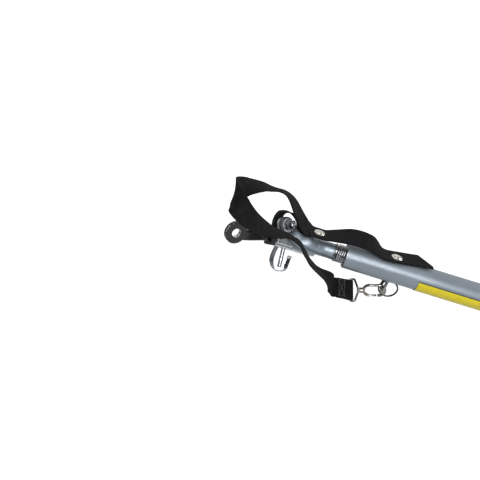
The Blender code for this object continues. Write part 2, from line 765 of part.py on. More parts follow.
def mouth_bush():
    """The black bush round the prong, against the receiver's mouth."""
    outer = HALF_RECEIVER + BUSH_PROUD
    inner = HALF_PRONG + SEATED
    bush = box("mouth_bush", (-SEATED - BUSH_LENGTH, -outer, -outer), (-SEATED, outer, outer))
    bevel(bush, 0.0016, 2)
    hole = box("bush_hole", (-2 * BUSH_LENGTH, -inner, -inner), (BUSH_LENGTH, inner, inner), CUTTERS)
    cut(bush, hole, HITCH)
    done(bush, BLACK_RUBBER, HITCH, HITCH_CARRIER)


# The lock pin and its bail
def lock_pin():
    """A turned pin: its cap holds the tether, and its head carries the bail."""
    neck_top = HEAD_TOP + 2 * SEATED + TETHER_THICKNESS
    low = -HALF_RECEIVER - PIN_BELOW
    tip = 0.0010
    pin = turned("lock_pin", [
        (0, neck_top + PIN_CAP_HEIGHT),
        (PIN_CAP_DIAMETER / 2, neck_top + PIN_CAP_HEIGHT),
        (PIN_CAP_DIAMETER / 2, neck_top),
        (PIN_NECK / 2, neck_top),
        (PIN_NECK / 2, HEAD_TOP),
        (PIN_HEAD_DIAMETER / 2, HEAD_TOP),
        (PIN_HEAD_DIAMETER / 2, HEAD_LOW),
        (PIN_DIAMETER / 2, HEAD_LOW),
        (PIN_DIAMETER / 2, low + tip),
        (PIN_DIAMETER / 2 - tip, low),
        (0, low),
    ], 24)
    hole = rod("bail_rivet_hole", (-PIN_HEAD_DIAMETER, 0, BAIL_PIVOT.z), "X", 2 * PIN_HEAD_DIAMETER,
               BAIL_RIVET / 2 + SEATED, 14, CUTTERS)
    at_pin = HITCH @ shift(PIN_X, 0, 0)
    cut(pin, hole, at_pin)
    done(pin, ZINC, at_pin, HITCH_CARRIER)


def pin_bail():
    """A flat spring strip on the pin's head that goes round the far side and under the tip.

    It is drawn from the lock pin's axis: X rearwards, Y to the far side and Z up.
    """
    x = PIN_HEAD_DIAMETER / 2 + SEATED + BAIL_THICKNESS / 2
    z = BAIL_PIVOT.z
    far = HALF_RECEIVER + BAIL_OFF
    under = -HALF_RECEIVER - PIN_BELOW - BAIL_DROP
    beside = PIN_DIAMETER / 2 + SEATED + BAIL_WIDTH * 0.6
    route = [
        ((x, -BAIL_RIVET + 0.0002, z + 0.0008), (0, 0, 1)),
        ((x, 0.0020, z + 0.0008), (0, 0, 1)),
        ((x, far - 0.0018, z), (0, 0.1, 1)),
        ((x - 0.0010, far, z - 0.0050), (0.5, 0.1, 0.6)),
        ((-0.0010, far + 0.0004, -0.0040), (0.95, 0, 0.4)),
        ((-0.0045, far + 0.0004, -0.0160), (1, 0, 0.2)),
        ((-0.0055, far - 0.0010, -0.0250), (1, 0, -0.1)),
        ((-0.0030, 0.0050, under + 0.0010), (0.9, 0.2, -0.3)),
        ((0.0015, 0.0005, under), (0.7, 0.6, 0)),
        ((beside - 0.0005, -0.0034, under + 0.0034), (0.75, 0.3, -0.2)),
        ((beside, -0.0042, under + 0.0100), (1, 0, 0)),
        ((beside + 0.0006, -0.0046, under + 0.0160), (1, 0, 0)),
        ((beside + 0.0010, -0.0060, under + 0.0200), (1, 0, 0)),
    ]
    bail = ribbon("pin_bail", route, BAIL_WIDTH, BAIL_THICKNESS, 3)
    hole = rod("bail_hole", (0, 0, z), "X", 2 * PIN_HEAD_DIAMETER, BAIL_RIVET / 2 + SEATED, 14, CUTTERS)
    at_pin = HITCH @ shift(PIN_X, 0, 0)
    cut(bail, hole, at_pin)
    done(bail, ZINC, at_pin, BAIL_CARRIER)


def bail_rivet():
    """The rivet that the bail swings on, through the pin's head."""
    z = BAIL_PIVOT.z
    front = -PIN_HEAD_DIAMETER / 2 - SEATED
    back = PIN_HEAD_DIAMETER / 2 + BAIL_THICKNESS + 2 * SEATED
    head = BAIL_RIVET * 0.8
    rivet = rod("bail_rivet", (front - 0.0001, 0, z), "X", back - front + 0.0002, BAIL_RIVET / 2, 14)
    at_pin = HITCH @ shift(PIN_X, 0, 0)
    for name, x in (("bail_rivet_front", front - 0.0007), ("bail_rivet_back", back)):
        join(rivet, rod(name, (x, 0, z), "X", 0.0007, head, 14, CUTTERS), at_pin)
    done(rivet, ZINC, at_pin, HITCH_CARRIER)


# The safety strap, in the bar frame. Its free loop swings out in front of the spring.
def strap_flap():
    """The strap's end on top of the drawbar, under the rear rivet, with its loose flap."""
    end = REAR_RIVET_X + FLAP_REACH
    route = [
        ((STRAP_LEAVES, 0, STRAP_SEAT), (0, 1, 0)),
        ((STRAP_LEAVES + 0.0040, 0, STRAP_SEAT), (0, 1, 0)),
        ((REAR_RIVET_X, 0.0020, STRAP_SEAT), (-0.1, 1, 0)),
        ((REAR_RIVET_X + FLAP_REACH * 0.42, FLAP_ASIDE - 0.0015, STRAP_SEAT), (-0.12, 1, 0.02)),
        ((end, FLAP_ASIDE, STRAP_SEAT + FLAP_LIFT), (-0.05, 1, 0.05)),
    ]
    flap = ribbon("strap_flap", route, STRAP_WIDTH, STRAP_THICKNESS, 3)
    hole = rod("flap_rivet_hole", (REAR_RIVET_X, 0, 0), "Z", TUBE_OD, RIVET_HOLE / 2, 20, CUTTERS)
    cut(flap, hole, BAR)
    reach = 2 * STRAP_WIDTH
    corner = box("flap_slant", (0, -reach, -reach), (reach, reach, reach), CUTTERS)
    tip = shift(end - 0.0005, FLAP_ASIDE - STRAP_WIDTH * 0.3, STRAP_SEAT) @ turn("Z", FLAP_SLANT)
    cut(flap, corner, BAR @ tip)
    done(flap, BLACK_WEBBING, BAR, BAR_CARRIER)


def safety_strap():
    """The free loop, from the flap over the spring, out in front and down to the hook."""
    leave = STRAP_LEAVES - 3 * SEATED
    rivet = FRONT_RIVET
    route = [
        ((leave, 0, STRAP_SEAT), (0, 1, 0)),
        ((leave - 0.0060, 0, STRAP_SEAT + 0.0012), (-0.05, 1, 0.05)),
        ((0.0240, 0, STRAP_SEAT + 0.0082), (-0.1, 0.9, 0.35)),
        ((0.0030, 0, STRAP_SEAT + 0.0095), (-0.05, 0.92, 0.35)),
        ((-0.0170, -0.0020, 0.0220), (-0.1, 1, 0.1)),
        ((rivet.x + 0.0080, rivet.y, rivet.z + 0.0003), (0, 1, 0)),
        ((rivet.x, rivet.y, rivet.z), (0, 1, 0)),
        ((rivet.x - 0.0080, rivet.y, rivet.z + 0.0003), (0, 1, 0)),
        ((-0.0507, -0.0040, 0.0223), (0.20, 0.97, -0.02)),
        ((-0.0568, -0.0079, 0.0267), (0.43, 0.90, -0.08)),
        ((-0.0671, -0.0024, 0.0364), (0.35, 0.93, -0.15)),
        ((-0.0762, 0.0024, 0.0453), (0.23, 0.96, -0.18)),
        ((-0.0857, 0.0032, 0.0515), (0.08, 0.96, -0.25)),
        ((-0.0959, 0.0009, 0.0545), (0.00, 0.95, -0.31)),
        ((-0.1063, -0.0017, 0.0550), (-0.04, 0.99, -0.16)),
        ((-0.1154, -0.0035, 0.0549), (-0.10, 0.99, 0.03)),
        ((-0.1250, -0.0086, 0.0549), (-0.22, 0.95, 0.22)),
        ((-0.1340, -0.0182, 0.0553), (-0.53, 0.65, 0.55)),
        ((-0.1401, -0.0343, 0.0542), (-0.06, 0.12, 0.99)),
        ((-0.1352, -0.0476, 0.0510), (0.26, 0.17, 0.95)),
        ((-0.1285, -0.0553, 0.0472), (0.57, 0.56, 0.59)),
        ((-0.1178, -0.0572, 0.0409), (0.34, 0.81, 0.49)),
        ((-0.1047, -0.0535, 0.0342), (0.13, 0.97, 0.22)),
        ((-0.0907, -0.0469, 0.0282), (0.04, 1.00, -0.05)),
        ((-0.0799, -0.0403, 0.0247), (0.03, 0.97, -0.23)),
        ((-0.0699, -0.0384, 0.0230), (0.07, 0.94, -0.34)),
        ((-0.0574, -0.0368, 0.0176), (0.12, 0.91, -0.38)),
        ((-0.0483, -0.0355, 0.0080), (0.16, 0.90, -0.41)),
        ((-0.0398, -0.0329, -0.0020), (0.17, 0.89, -0.42)),
        ((-0.0300, -0.0268, -0.0124), (0.17, 0.89, -0.42)),
        ((-0.0187, -0.0196, -0.0228), (0.21, 0.91, -0.36)),
        ((-0.0063, -0.0123, -0.0334), (0.35, 0.94, 0.01)),
    ]
    route += [sewn_end(STRAP_THICKNESS * k) for k in (3, 1.5, 0)]
    strap = ribbon("safety_strap", route, STRAP_WIDTH, STRAP_THICKNESS, 2)
    hole = rod("strap_rivet_hole", (rivet.x, rivet.y, 0), "Z", TUBE_OD, RIVET_HOLE / 2, 20, CUTTERS)
    cut(strap, hole, BAR)
    done(strap, BLACK_WEBBING, BAR, BAR_CARRIER)


def strap_rivet_rear():
    """The rivet through the flap, the tube and the spring's anchor."""
    rivet("strap_rivet_rear", REAR_RIVET_X, 0, BORE_R - REAR_RIVET_DEPTH,
          STRAP_SEAT + STRAP_THICKNESS / 2 + SEATED, False, BAR_CARRIER)


def strap_rivet_front():
    """The rivet through the strap and the end of the pin's tether."""
    low = FRONT_RIVET.z - TETHER_BELOW - TETHER_THICKNESS / 2 - SEATED
    top = FRONT_RIVET.z + STRAP_THICKNESS / 2 + SEATED
    rivet("strap_rivet_front", FRONT_RIVET.x, FRONT_RIVET.y, low, top, True, FLEX_CARRIER)


def rivet(name, x, y, low, high, lower_head, parent):
    """A shank along the bar frame's Z, with a domed head on top and perhaps one below."""
    overlap = 0.0002
    length = high - low + (2 * overlap if lower_head else overlap)
    bottom = low - overlap if lower_head else low
    shank = rod(name, (x, y, bottom), "Z", length, RIVET_SHANK / 2, 20)
    crown = RIVET_HEAD * 0.32
    upper = rod(name + "_upper", (x, y, high), "Z", RIVET_RISE, RIVET_HEAD / 2, 28, CUTTERS, crown)
    join(shank, upper, BAR)
    if lower_head:
        lower = rod(name + "_lower", (x, y, low - RIVET_RISE / 2), "Z", RIVET_RISE / 2,
                    RIVET_HEAD * 0.36, 28, CUTTERS)
        join(shank, lower, BAR)
    done(shank, NICKEL, BAR, parent)


def pin_tether():
    """The pin's tether: from under the front rivet, over the ear and down to the pin's cap."""
    level = Vector((FRONT_RIVET.x, FRONT_RIVET.y, FRONT_RIVET.z - TETHER_BELOW))
    away = Vector((-0.92, -0.39, 0))
    across = BAR_IN_HITCH.to_3x3() @ Vector((-0.39, 0.92, 0))
    lead = RIVET_HEAD / 2
    seat = TETHER_SEAT
    over = BOLT_RISE + EAR_RADIUS + 0.0042
    route = [
        (BAR_IN_HITCH @ (level - away * lead), across),
        (BAR_IN_HITCH @ level, across),
        (BAR_IN_HITCH @ (level + away * lead), across),
        ((0.0286, -0.0221, 0.0155), (0.22, 0.62, 0.75)),
        ((0.0184, -0.0214, 0.0179), (0.55, 0.48, 0.66)),
        ((0.0126, -0.0196, 0.0270), (0.73, 0.45, 0.52)),
        ((0.0075, -0.0165, over - 0.0014), (0.85, 0.42, 0.20)),
        ((0.0042, -0.0115, over + 0.0004), (0.93, 0.33, 0)),
        ((0.0020, -0.0070, over), (0.96, 0.10, 0)),
        ((0.0004, -0.0032, over - 0.0027), (0.95, -0.20, 0)),
        ((-0.0008, -0.0008, BOLT_RISE + 0.0055), (0.84, -0.54, 0)),
        ((-0.0008, -0.0003, BOLT_RISE - 0.0010), (0.82, -0.57, 0)),
        ((0.0012, 0.0010, HEAD_TOP - 0.0010), (0.62, -0.78, 0)),
        ((0.0064, 0.0022, HEAD_TOP - 0.0012), (0.2, -1, 0)),
        ((PIN_X - 0.0074, 0.0012, seat - 0.0002), (0, -1, 0)),
        ((PIN_X - 0.0036, 0, seat), (0, -1, 0)),
        ((PIN_X + 0.0040, 0, seat), (0, -1, 0)),
    ]
    tether = ribbon("pin_tether", route, TETHER_WIDTH, TETHER_THICKNESS, 3)
    hole = rod("tether_rivet_hole", tuple(FRONT_RIVET - Vector((0, 0, TUBE_R))), "Z", TUBE_OD,
               RIVET_HOLE / 2, 20, CUTTERS)
    cut(tether, hole, BAR)
    pin = rod("tether_pin_hole", (PIN_X, 0, seat - 0.0020), "Z", 0.0040, PIN_NECK / 2 + SEATED, 20, CUTTERS)
    cut(tether, pin, HITCH)
    done(tether, BLACK_WEBBING, HITCH, HITCH_CARRIER)


# The eye under the tube, the snap hook and the ring
def anchor_eye():
    """A wire eye under the drawbar, cut to the tube's round."""
    x = LUG_X
    corners = [(x, -LUG_HALF, -TUBE_R * 0.5), (x, -LUG_HALF, LUG_BOTTOM),
               (x, LUG_HALF, LUG_BOTTOM), (x, LUG_HALF, -TUBE_R * 0.5)]
    eye = wire("anchor_eye", rounded(corners, LUG_CORNER, 5), LUG_WIRE / 2, 3)
    tube = rod("eye_seat", (x - TUBE_OD, 0, 0), "X", 2 * TUBE_OD, TUBE_R + SEATED, 48, CUTTERS)
    cut(eye, tube, BAR)
    done(eye, NICKEL, BAR, BAR_CARRIER)


def hook_body():
    """A long loop of wire, open below for the gate, with a boss for the swivel."""
    points = [Vector((HOOK_HALF - NOSE_BACK, 0, -HOOK_R))]
    steps = 8
    for k in range(steps + 1):
        a = -pi / 2 + pi * k / steps
        points.append(Vector((HOOK_HALF + HOOK_R * cos(a), 0, HOOK_R * sin(a))))
    for k in range(steps + 1):
        a = pi / 2 + pi * k / steps
        points.append(Vector((-HOOK_HALF + HOOK_R * cos(a), 0, HOOK_R * sin(a))))
    body = wire("hook_body", points, HOOK_WIRE / 2, 3)
    front = -HOOK_LENGTH / 2 - BOSS_LENGTH
    boss = rod("hook_boss", (front, 0, 0), "X", BOSS_LENGTH + HOOK_WIRE / 2, BOSS_DIAMETER / 2, 20, CUTTERS)
    join(body, boss, HOOK)
    done(body, NICKEL, HOOK, HOOK_CARRIER)


def hook_gate():
    """The sprung gate that closes the hook's mouth, with its origin on its pivot."""
    length = 2 * HOOK_HALF - NOSE_BACK - 2 * GATE_GAP
    gate = rod("hook_gate", (GATE_GAP, 0, 0), "X", length, GATE_WIRE / 2, 16)
    done(gate, NICKEL, GATE, GATE_CARRIER)


def hook_swivel_eye():
    """A collar in front of the hook's boss, with a wire loop for the strap's sewn end."""
    back = -HOOK_LENGTH / 2 - BOSS_LENGTH - SEATED
    front = back - COLLAR_LENGTH
    collar = rod("hook_swivel_eye", (front, 0, 0), "X", COLLAR_LENGTH, COLLAR_DIAMETER / 2, 24)
    half = STRAP_WIDTH / 2 + SLIDING + SWIVEL_WIRE / 2
    inset = COLLAR_DIAMETER / 2 - SWIVEL_WIRE / 2
    near = front - SWIVEL_WIRE
    far = front - SWIVEL_REACH
    corners = [(front + COLLAR_LENGTH / 2, inset, 0), (near, half, 0), (far, half, 0),
               (far, -half, 0), (near, -half, 0), (front + COLLAR_LENGTH / 2, -inset, 0)]
    path = [turn("X", SWIVEL_ROLL) @ p for p in rounded(corners, SWIVEL_WIRE * 0.7, 3)]
    loop = wire("swivel_loop", path, SWIVEL_WIRE / 2, 2, group=CUTTERS)
    join(collar, loop, HOOK)
    done(collar, NICKEL, HOOK, BAR_CARRIER)


def sewn_frame():
    """The frame of the sewn loop: its origin on the swivel's bar, and its -X towards the strap."""
    bar_x = -HOOK_LENGTH / 2 - BOSS_LENGTH - SEATED - COLLAR_LENGTH - SWIVEL_REACH
    level = turn("Y", HOOK_TILT + SEWN_TILT)
    return HOOK @ shift(bar_x, 0, 0) @ turn("X", SWIVEL_ROLL) @ level


def sewn_end(before):
    """A point before the sewn loop's front end in the bar frame, with the width's direction."""
    to_bar = BAR.inverted() @ sewn_frame()
    point = to_bar @ Vector((-SEWN_LENGTH - SEATED - before, 0, 0))
    return point, to_bar.to_3x3() @ Vector((0, 1, 0))


def strap_sewn_loop():
    """The strap's sewn end: a loop of webbing round the swivel's bar, flat where it is sewn."""
    gap = SWIVEL_WIRE / 2 + SEATED + STRAP_THICKNESS / 2
    half = STRAP_THICKNESS / 2 + 0.0003
    route = [
        (-SEWN_LENGTH, half),
        (-SEWN_LENGTH * 0.5, half),
        (-2.4 * gap, half + 0.0003),
        (-gap, gap * 0.82),
    ]
    steps = 6
    for k in range(steps + 1):
        a = pi * 0.62 - 2 * pi * 0.62 * k / steps
        route.append((gap * cos(a), gap * sin(a)))
    route += [
        (-gap, -gap * 0.82),
        (-2.4 * gap, -half - 0.0003),
        (-SEWN_LENGTH * 0.5, -half),
        (-SEWN_LENGTH, -half),
    ]
    pairs = [((x, 0, z), (0, 1, 0)) for x, z in route]
    loop = ribbon("strap_sewn_loop", pairs, STRAP_WIDTH, STRAP_THICKNESS, 1)
    done(loop, BLACK_WEBBING, sewn_frame(), BAR_CARRIER)


def split_ring():
    """A wire ring on the eye, lying back under the drawbar."""
    reach = (RING_OD - RING_WIRE) / 2
    centre = reach - LUG_WIRE / 2 - SEATED - RING_WIRE / 2
    steps = 24
    points = []
    for k in range(steps):
        a = 2 * pi * k / steps
        points.append(Vector((centre + reach * cos(a), 0, reach * sin(a))))
    ring = wire("split_ring", points, RING_WIRE / 2, 2, True)
    done(ring, SPRING_STEEL, RING, RING_CARRIER)


drawbar_tube()
end_cap()
reflective_tape()
spring_anchor()
flex_core()
flex_spring()
spring_seat()
tow_arm()
hitch_bolt()
hitch_washer()
hitch_nut()
receiver()
axle_bracket()
mouth_bush()
lock_pin()
pin_bail()
bail_rivet()
strap_flap()
safety_strap()
strap_rivet_rear()
strap_rivet_front()
pin_tether()
anchor_eye()
hook_body()
hook_gate()
hook_swivel_eye()
strap_sewn_loop()
split_ring()
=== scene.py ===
# %% [markdown]
# # The drawbar of a bike trailer
#
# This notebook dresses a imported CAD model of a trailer's drawbar: the bent tube, the coil
# spring that lets it flex, the hitch with its flat eye in front, and the webbing strap that
# keeps the trailer if the hitch ever fails. The CAD model fixes where everything is. Here
# each piece gets the roundings, seams and finish of the real one, in metres, in the same frame.

# %% Load the frame
from math import cos, hypot, pi, radians, sin, sqrt, tan

import bmesh
import bpy
from mathutils import Matrix, Vector


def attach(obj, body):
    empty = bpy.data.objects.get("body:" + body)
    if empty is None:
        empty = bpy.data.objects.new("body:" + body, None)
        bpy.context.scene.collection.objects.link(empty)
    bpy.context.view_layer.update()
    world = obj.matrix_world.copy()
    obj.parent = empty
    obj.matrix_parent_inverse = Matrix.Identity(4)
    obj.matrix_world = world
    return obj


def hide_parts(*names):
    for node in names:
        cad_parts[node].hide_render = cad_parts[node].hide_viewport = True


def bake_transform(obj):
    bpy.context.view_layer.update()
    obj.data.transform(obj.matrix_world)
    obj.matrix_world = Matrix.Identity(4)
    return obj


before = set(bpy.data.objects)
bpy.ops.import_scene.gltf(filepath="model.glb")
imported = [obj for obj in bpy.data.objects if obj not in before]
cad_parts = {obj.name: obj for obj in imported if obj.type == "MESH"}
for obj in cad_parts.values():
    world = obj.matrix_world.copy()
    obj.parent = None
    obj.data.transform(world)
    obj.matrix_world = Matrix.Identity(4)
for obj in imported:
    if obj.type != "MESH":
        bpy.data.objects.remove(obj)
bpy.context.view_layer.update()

# %% [markdown]
# ## Frames
#
# The drawbar slopes down from the hitch to the trailer and also swings outwards, so nothing on
# it is level. Local frames make the work simple: one along the front tube, one along the square
# receiver, one on the eye plate and one along the snap hook. A piece is drawn in its own frame
# with round numbers, and its mesh is then carried to its place. GAP is the small space that
# neighbouring pieces keep.

# %% Frames of the drawbar, the hitch and the snap hook
def turn(axis, degrees):
    return Matrix.Rotation(radians(degrees), 4, axis)


def shift(x, y=0.0, z=0.0):
    return Matrix.Translation((x, y, z))


GAP = 0.0003
ALONG_X = turn("Y", 90)
BEND_AT = Vector((-0.200, 0, 0))
BAR_TURN = turn("Z", -36.4) @ turn("Y", 13.6)
MOUTH = BEND_AT - BAR_TURN @ Vector((0.250, 0, 0))
BAR = Matrix.Translation(MOUTH) @ BAR_TURN
SPRING_FRONT = -0.0130
ARM_END = Vector((0.0688, -0.0310, 0.0030))
HITCH_TURN = turn("Y", 28.4) @ turn("X", -22.0)
HITCH_AT = BAR @ Vector((SPRING_FRONT, 0, 0)) - HITCH_TURN @ ARM_END
HITCH = Matrix.Translation(HITCH_AT) @ HITCH_TURN
BAR_IN_HITCH = HITCH.inverted() @ BAR
PLATE_AT = Vector((-0.0488, 0.0025, -0.0061))
PLATE_IN_HITCH = HITCH.inverted() @ (HITCH @ Matrix.Translation(PLATE_AT) @ turn("X", 22.0))
BOLT_X, BOLT_Z = 0.0040, 0.0180
LUG_X, LUG_BOTTOM, LUG_WIRE_R = 0.0560, -0.0300, 0.0018
HOOK_LENGTH, HOOK_HEIGHT, HOOK_WIRE = 0.0285, 0.0180, 0.0036
HOOK_BACK = HOOK_LENGTH / 2 - HOOK_WIRE - GAP - LUG_WIRE_R
HOOK = BAR @ shift(LUG_X, -0.0022, LUG_BOTTOM) @ turn("Y", -20) @ shift(-HOOK_BACK)
print("tube's mouth at", tuple(round(c, 4) for c in MOUTH))

# %% [markdown]
# ## Camera
#
# The photograph looks down on the hitch from its left side. The camera stands where the
# picture's own perspective puts it, with a plain lens and no shift. Its matrix is written out
# from its right, its up, its backward way and its place, one column each.

# %% Camera
def add_object(name, data):
    obj = bpy.data.objects.new(name, data)
    bpy.context.scene.collection.objects.link(obj)
    return obj


lens = bpy.data.cameras.new("camera")
lens.sensor_width, lens.lens, lens.clip_start = 36.0, 37.5, 0.01
right = Vector((0.9034, -0.4289, 0.0)).normalized()
ahead = Vector((0.3755, 0.7910, -0.4830)).normalized()
CAMERA_AT = (-0.72298, -0.25910, 0.35749)
camera = add_object("camera", lens)
camera.matrix_world = Matrix([*zip(right, right.cross(ahead), -ahead, CAMERA_AT), (0, 0, 0, 1)])
bpy.context.scene.camera = camera
bpy.context.scene.view_settings.view_transform = "Standard"
print("camera at", CAMERA_AT)

# %% [markdown]
# ## Nodes, in few words
#
# Finishes, light and the coils all come from node trees. Writing each node and link by hand
# takes a page, so a small class does it: a call names the kind of node, its options and what
# goes into its sockets, which is a plain value or the output of another node. An input without
# a name of its own is called by its number, such as i0.

# %% A small class that adds nodes
class Nodes:
    def __init__(self, tree):
        self.tree = tree

    def put(self, socket, value):
        if isinstance(value, bpy.types.NodeSocket):
            self.tree.links.new(value, socket)
        else:
            socket.default_value = value

    def node(self, kind, **settings):
        made = self.tree.nodes.new(kind if "Node" in kind else "ShaderNode" + kind)
        for key, value in settings.items():
            if hasattr(made, key):
                setattr(made, key, value)
            else:
                spot = int(key[1:]) if key[1:].isdigit() else key.replace("_", " ")
                self.put(made.inputs[spot], value)
        return made

    def math(self, operation, a, b=0.0):
        return self.node("Math", operation=operation, i0=a, i1=b).outputs[0]

    def times(self, a, b):
        return self.math("MULTIPLY", a, b)

    def plus(self, a, b):
        return self.math("ADD", a, b)

    def sine(self, a):
        return self.math("SINE", a)

    def larger(self, a, b):
        return self.math("MAXIMUM", a, b)

    def ramp(self, value, low, high, a=0.0, b=1.0):
        """Turns the range from low to high into the range from a to b, and keeps within it."""
        made = self.node("MapRange", clamp=True, Value=value,
                         From_Min=low, From_Max=high, To_Min=a, To_Max=b)
        return made.outputs["Result"]


print("node class ready")

# %% [markdown]
# ## Finishes
#
# Every finish is a Principled shader with a few procedural nodes in front of it. All patterns
# read object coordinates, which here are metres, or the piece's own UV map, which is also laid
# out in metres. Bare edges come from an attribute named `edge`, which the mesh code writes
# where a surface turns sharply. Each bump is laid over the one before it.

# %% A class for procedural finishes
# The second colour here is painted shade, which is laid round the bolt.
WORN_SCALE, PAINTED_SHADE = 420, (0.020, 0.021, 0.023)


class Finish(Nodes):
    def __init__(self, name, colour, roughness, metallic=0.0, **sockets):
        self.mat = bpy.data.materials.new(name)
        self.mat.use_nodes = True
        self.mat.diffuse_color = (*colour, 1)
        super().__init__(self.mat.node_tree)
        self.shader = self.tree.nodes["Principled BSDF"]
        self.relief = {}
        self.give(Base_Color=(*colour, 1), Roughness=roughness, Metallic=metallic, **sockets)

    def give(self, **sockets):
        for name, value in sockets.items():
            self.put(self.shader.inputs[name.replace("_", " ")], value)

    def place(self, scale=(1, 1, 1), rotation=(0, 0, 0)):
        at = self.node("TexCoord").outputs["Object"]
        return self.node("Mapping", Vector=at, Scale=scale, Rotation=rotation).outputs["Vector"]

    def along_across(self):
        uv = self.node("UVMap", uv_map="weave").outputs["UV"]
        return self.node("SeparateXYZ", Vector=uv).outputs[:2]

    def noise(self, scale, detail, rough=0.55, vector=None):
        made = self.node("TexNoise", Vector=vector or self.place(), Scale=scale, Detail=detail,
                         Roughness=rough)
        return made.outputs["Fac"]

    def patches(self, scale, detail, low, high, a=0.0, b=1.0, rough=0.55):
        return self.ramp(self.noise(scale, detail, rough), low, high, a, b)

    def cells(self, scale):
        return self.node("TexVoronoi", Vector=self.place(), Scale=scale).outputs["Distance"]

    def far_from(self, point):
        made = self.node("VectorMath", operation="DISTANCE", i0=self.place(), i1=tuple(point))
        return made.outputs["Value"]

    def mix(self, fac, a, b):
        a, b = ((*c, 1) if isinstance(c, tuple) else c for c in (a, b))
        return self.node("Mix", data_type="RGBA", i0=fac, i6=a, i7=b).outputs[2]

    def edge(self, low=0.35, high=0.75):
        worn = self.node("Attribute", attribute_name="edge").outputs["Fac"]
        return self.ramp(self.times(worn, self.patches(WORN_SCALE, 4, 0.36, 0.62)), low, high)

    def shade_near(self, tone, centre, shade_ends):
        """Painted shade near a point, such as a bolt: the colour darkens towards the point, and the
        darkening ends at the distance given last.
        """
        near = self.ramp(self.far_from(centre), 0.0085, shade_ends, 0.80, 0.0)
        return self.mix(near, tone, PAINTED_SHADE)

    def bump(self, height, distance, strength):
        made = self.node("Bump", Height=height, Distance=distance, Strength=strength, **self.relief)
        self.relief = {"Normal": made.outputs["Normal"]}
        self.give(**self.relief)


print("finish class ready")

# %% [markdown]
# ### Grey paint
#
# The drawbar and the arm wear a silvery grey paint that is sprayed and baked: a little metal in
# the colour, a soft broad highlight, and the faint orange-peel that powder leaves. Fine dust and
# rub marks break the gloss, and steel shows at worn edges. The arm's paint is more metallic, and
# its colour is the drawbar's grey lightened, as a painted highlight. Round the bolt the colour is
# painted darker, as painted shade.

# %% Grey paint
def shade(colour, by, lift=0.0):
    return tuple(c * by + lift for c in colour)


def grey_paint(name, bright=1.0, gloss=0.40, metal=0.45, shaded_at=None):
    f = Finish(name, (0.205, 0.237, 0.272), gloss, metal, Coat_Weight=0.15, Coat_Roughness=0.20)
    deep, pale = shade((0.172, 0.200, 0.230), bright), shade((0.200, 0.232, 0.266), bright)
    tone = f.mix(f.patches(38, 5, 0.3, 0.7), deep, pale)
    tone = f.mix(f.patches(1500, 2, 0.66, 0.74, 0, 0.35), tone, (0.36, 0.40, 0.44))
    bare = f.edge()
    tone = f.mix(bare, tone, (0.42, 0.42, 0.41))
    rubs = f.noise(1, 6, 0.65, f.place((30, 420, 420)))
    # Near the given point, the bolt, the colour is painted darker: painted shade.
    f.give(Base_Color=f.shade_near(tone, shaded_at, 0.0185) if shaded_at else tone,
           Roughness=f.ramp(rubs, 0.3, 0.75, gloss - 0.06, gloss + 0.08),
           Metallic=f.ramp(bare, 0, 1, metal, 0.95))
    f.bump(f.noise(900, 2), 0.00006, 0.5)
    f.bump(f.patches(5200, 1, 0.35, 0.65), 0.00001, 0.35)
    return f.mat


BOLT_AT = HITCH @ Vector((BOLT_X, -0.0150, BOLT_Z))
GREY_PAINT = grey_paint("grey_paint_skin")
# The arm's paint is the drawbar's grey lightened by 1.3 as a painted highlight. It is more metallic
# and glossier, and painted darker round the bolt as painted shade.
ARM_PAINT = grey_paint("silver_arm_paint", 1.3, 0.45, 0.80, BOLT_AT)
print("made", GREY_PAINT.name, ARM_PAINT.name)

# %% [markdown]
# ### Zinc, nickel and steel
#
# Bare metals sit side by side, and they only read as different when their tone and gloss
# differ. Zinc plating is pale and slightly cloudy, with a fine grain and yellowish stains: pale
# on the receiver, greyer on the pin, and painted darker round the bolt on the ear, as painted
# shade. The nut and the bolt get a dark, glossy zinc whose dark colour is a painted reflection
# of dark surroundings. Nickel is warmer, with tiny scratches, bright on the rivets and dull on
# the cast hook. The spring and the ring are oiled steel.

# %% Zinc plating
def zinc(name, tint, gloss, shaded_at=None):
    f = Finish(name, tint, gloss, 0.95)
    cloud = f.patches(170, 5, 0.32, 0.68, rough=0.6)
    tone = f.mix(cloud, shade(tint, 0.82), shade(tint, 1.12))
    tone = f.mix(f.patches(60, 3, 0.60, 0.78, 0, 0.35), tone, (0.50, 0.50, 0.42))
    tone = f.mix(f.edge(0.3, 0.9), tone, (0.80, 0.82, 0.84))
    # Near the given point, the bolt, the zinc is painted darker: painted shade.
    f.give(Base_Color=f.shade_near(tone, shaded_at, 0.0125) if shaded_at else tone,
           Roughness=f.patches(900, 4, 0.3, 0.7, gloss - 0.07, gloss + 0.12))
    f.bump(f.cells(2600), 0.00003, 0.25)
    f.bump(f.noise(260, 4), 0.00012, 0.35)
    return f.mat


ZINC = zinc("zinc_plate_skin", (0.50, 0.52, 0.55), 0.27)
PALE_ZINC = zinc("pale_zinc_skin", (0.60, 0.63, 0.64), 0.33)
# The ear's zinc is painted darker round the bolt: painted shade.
EAR_ZINC = zinc("greased_zinc_skin", (0.60, 0.63, 0.64), 0.33, BOLT_AT)
BRIGHT_ZINC = zinc("bright_zinc_skin", (0.36, 0.38, 0.40), 0.18)
PIN_ZINC = zinc("grey_zinc_skin", (0.30, 0.315, 0.33), 0.24)
# The nut's and bolt's zinc is dark as a painted reflection of dark surroundings.
NUT_ZINC = zinc("dark_zinc_skin", (0.16, 0.17, 0.18), 0.16)
print("made six kinds of zinc")


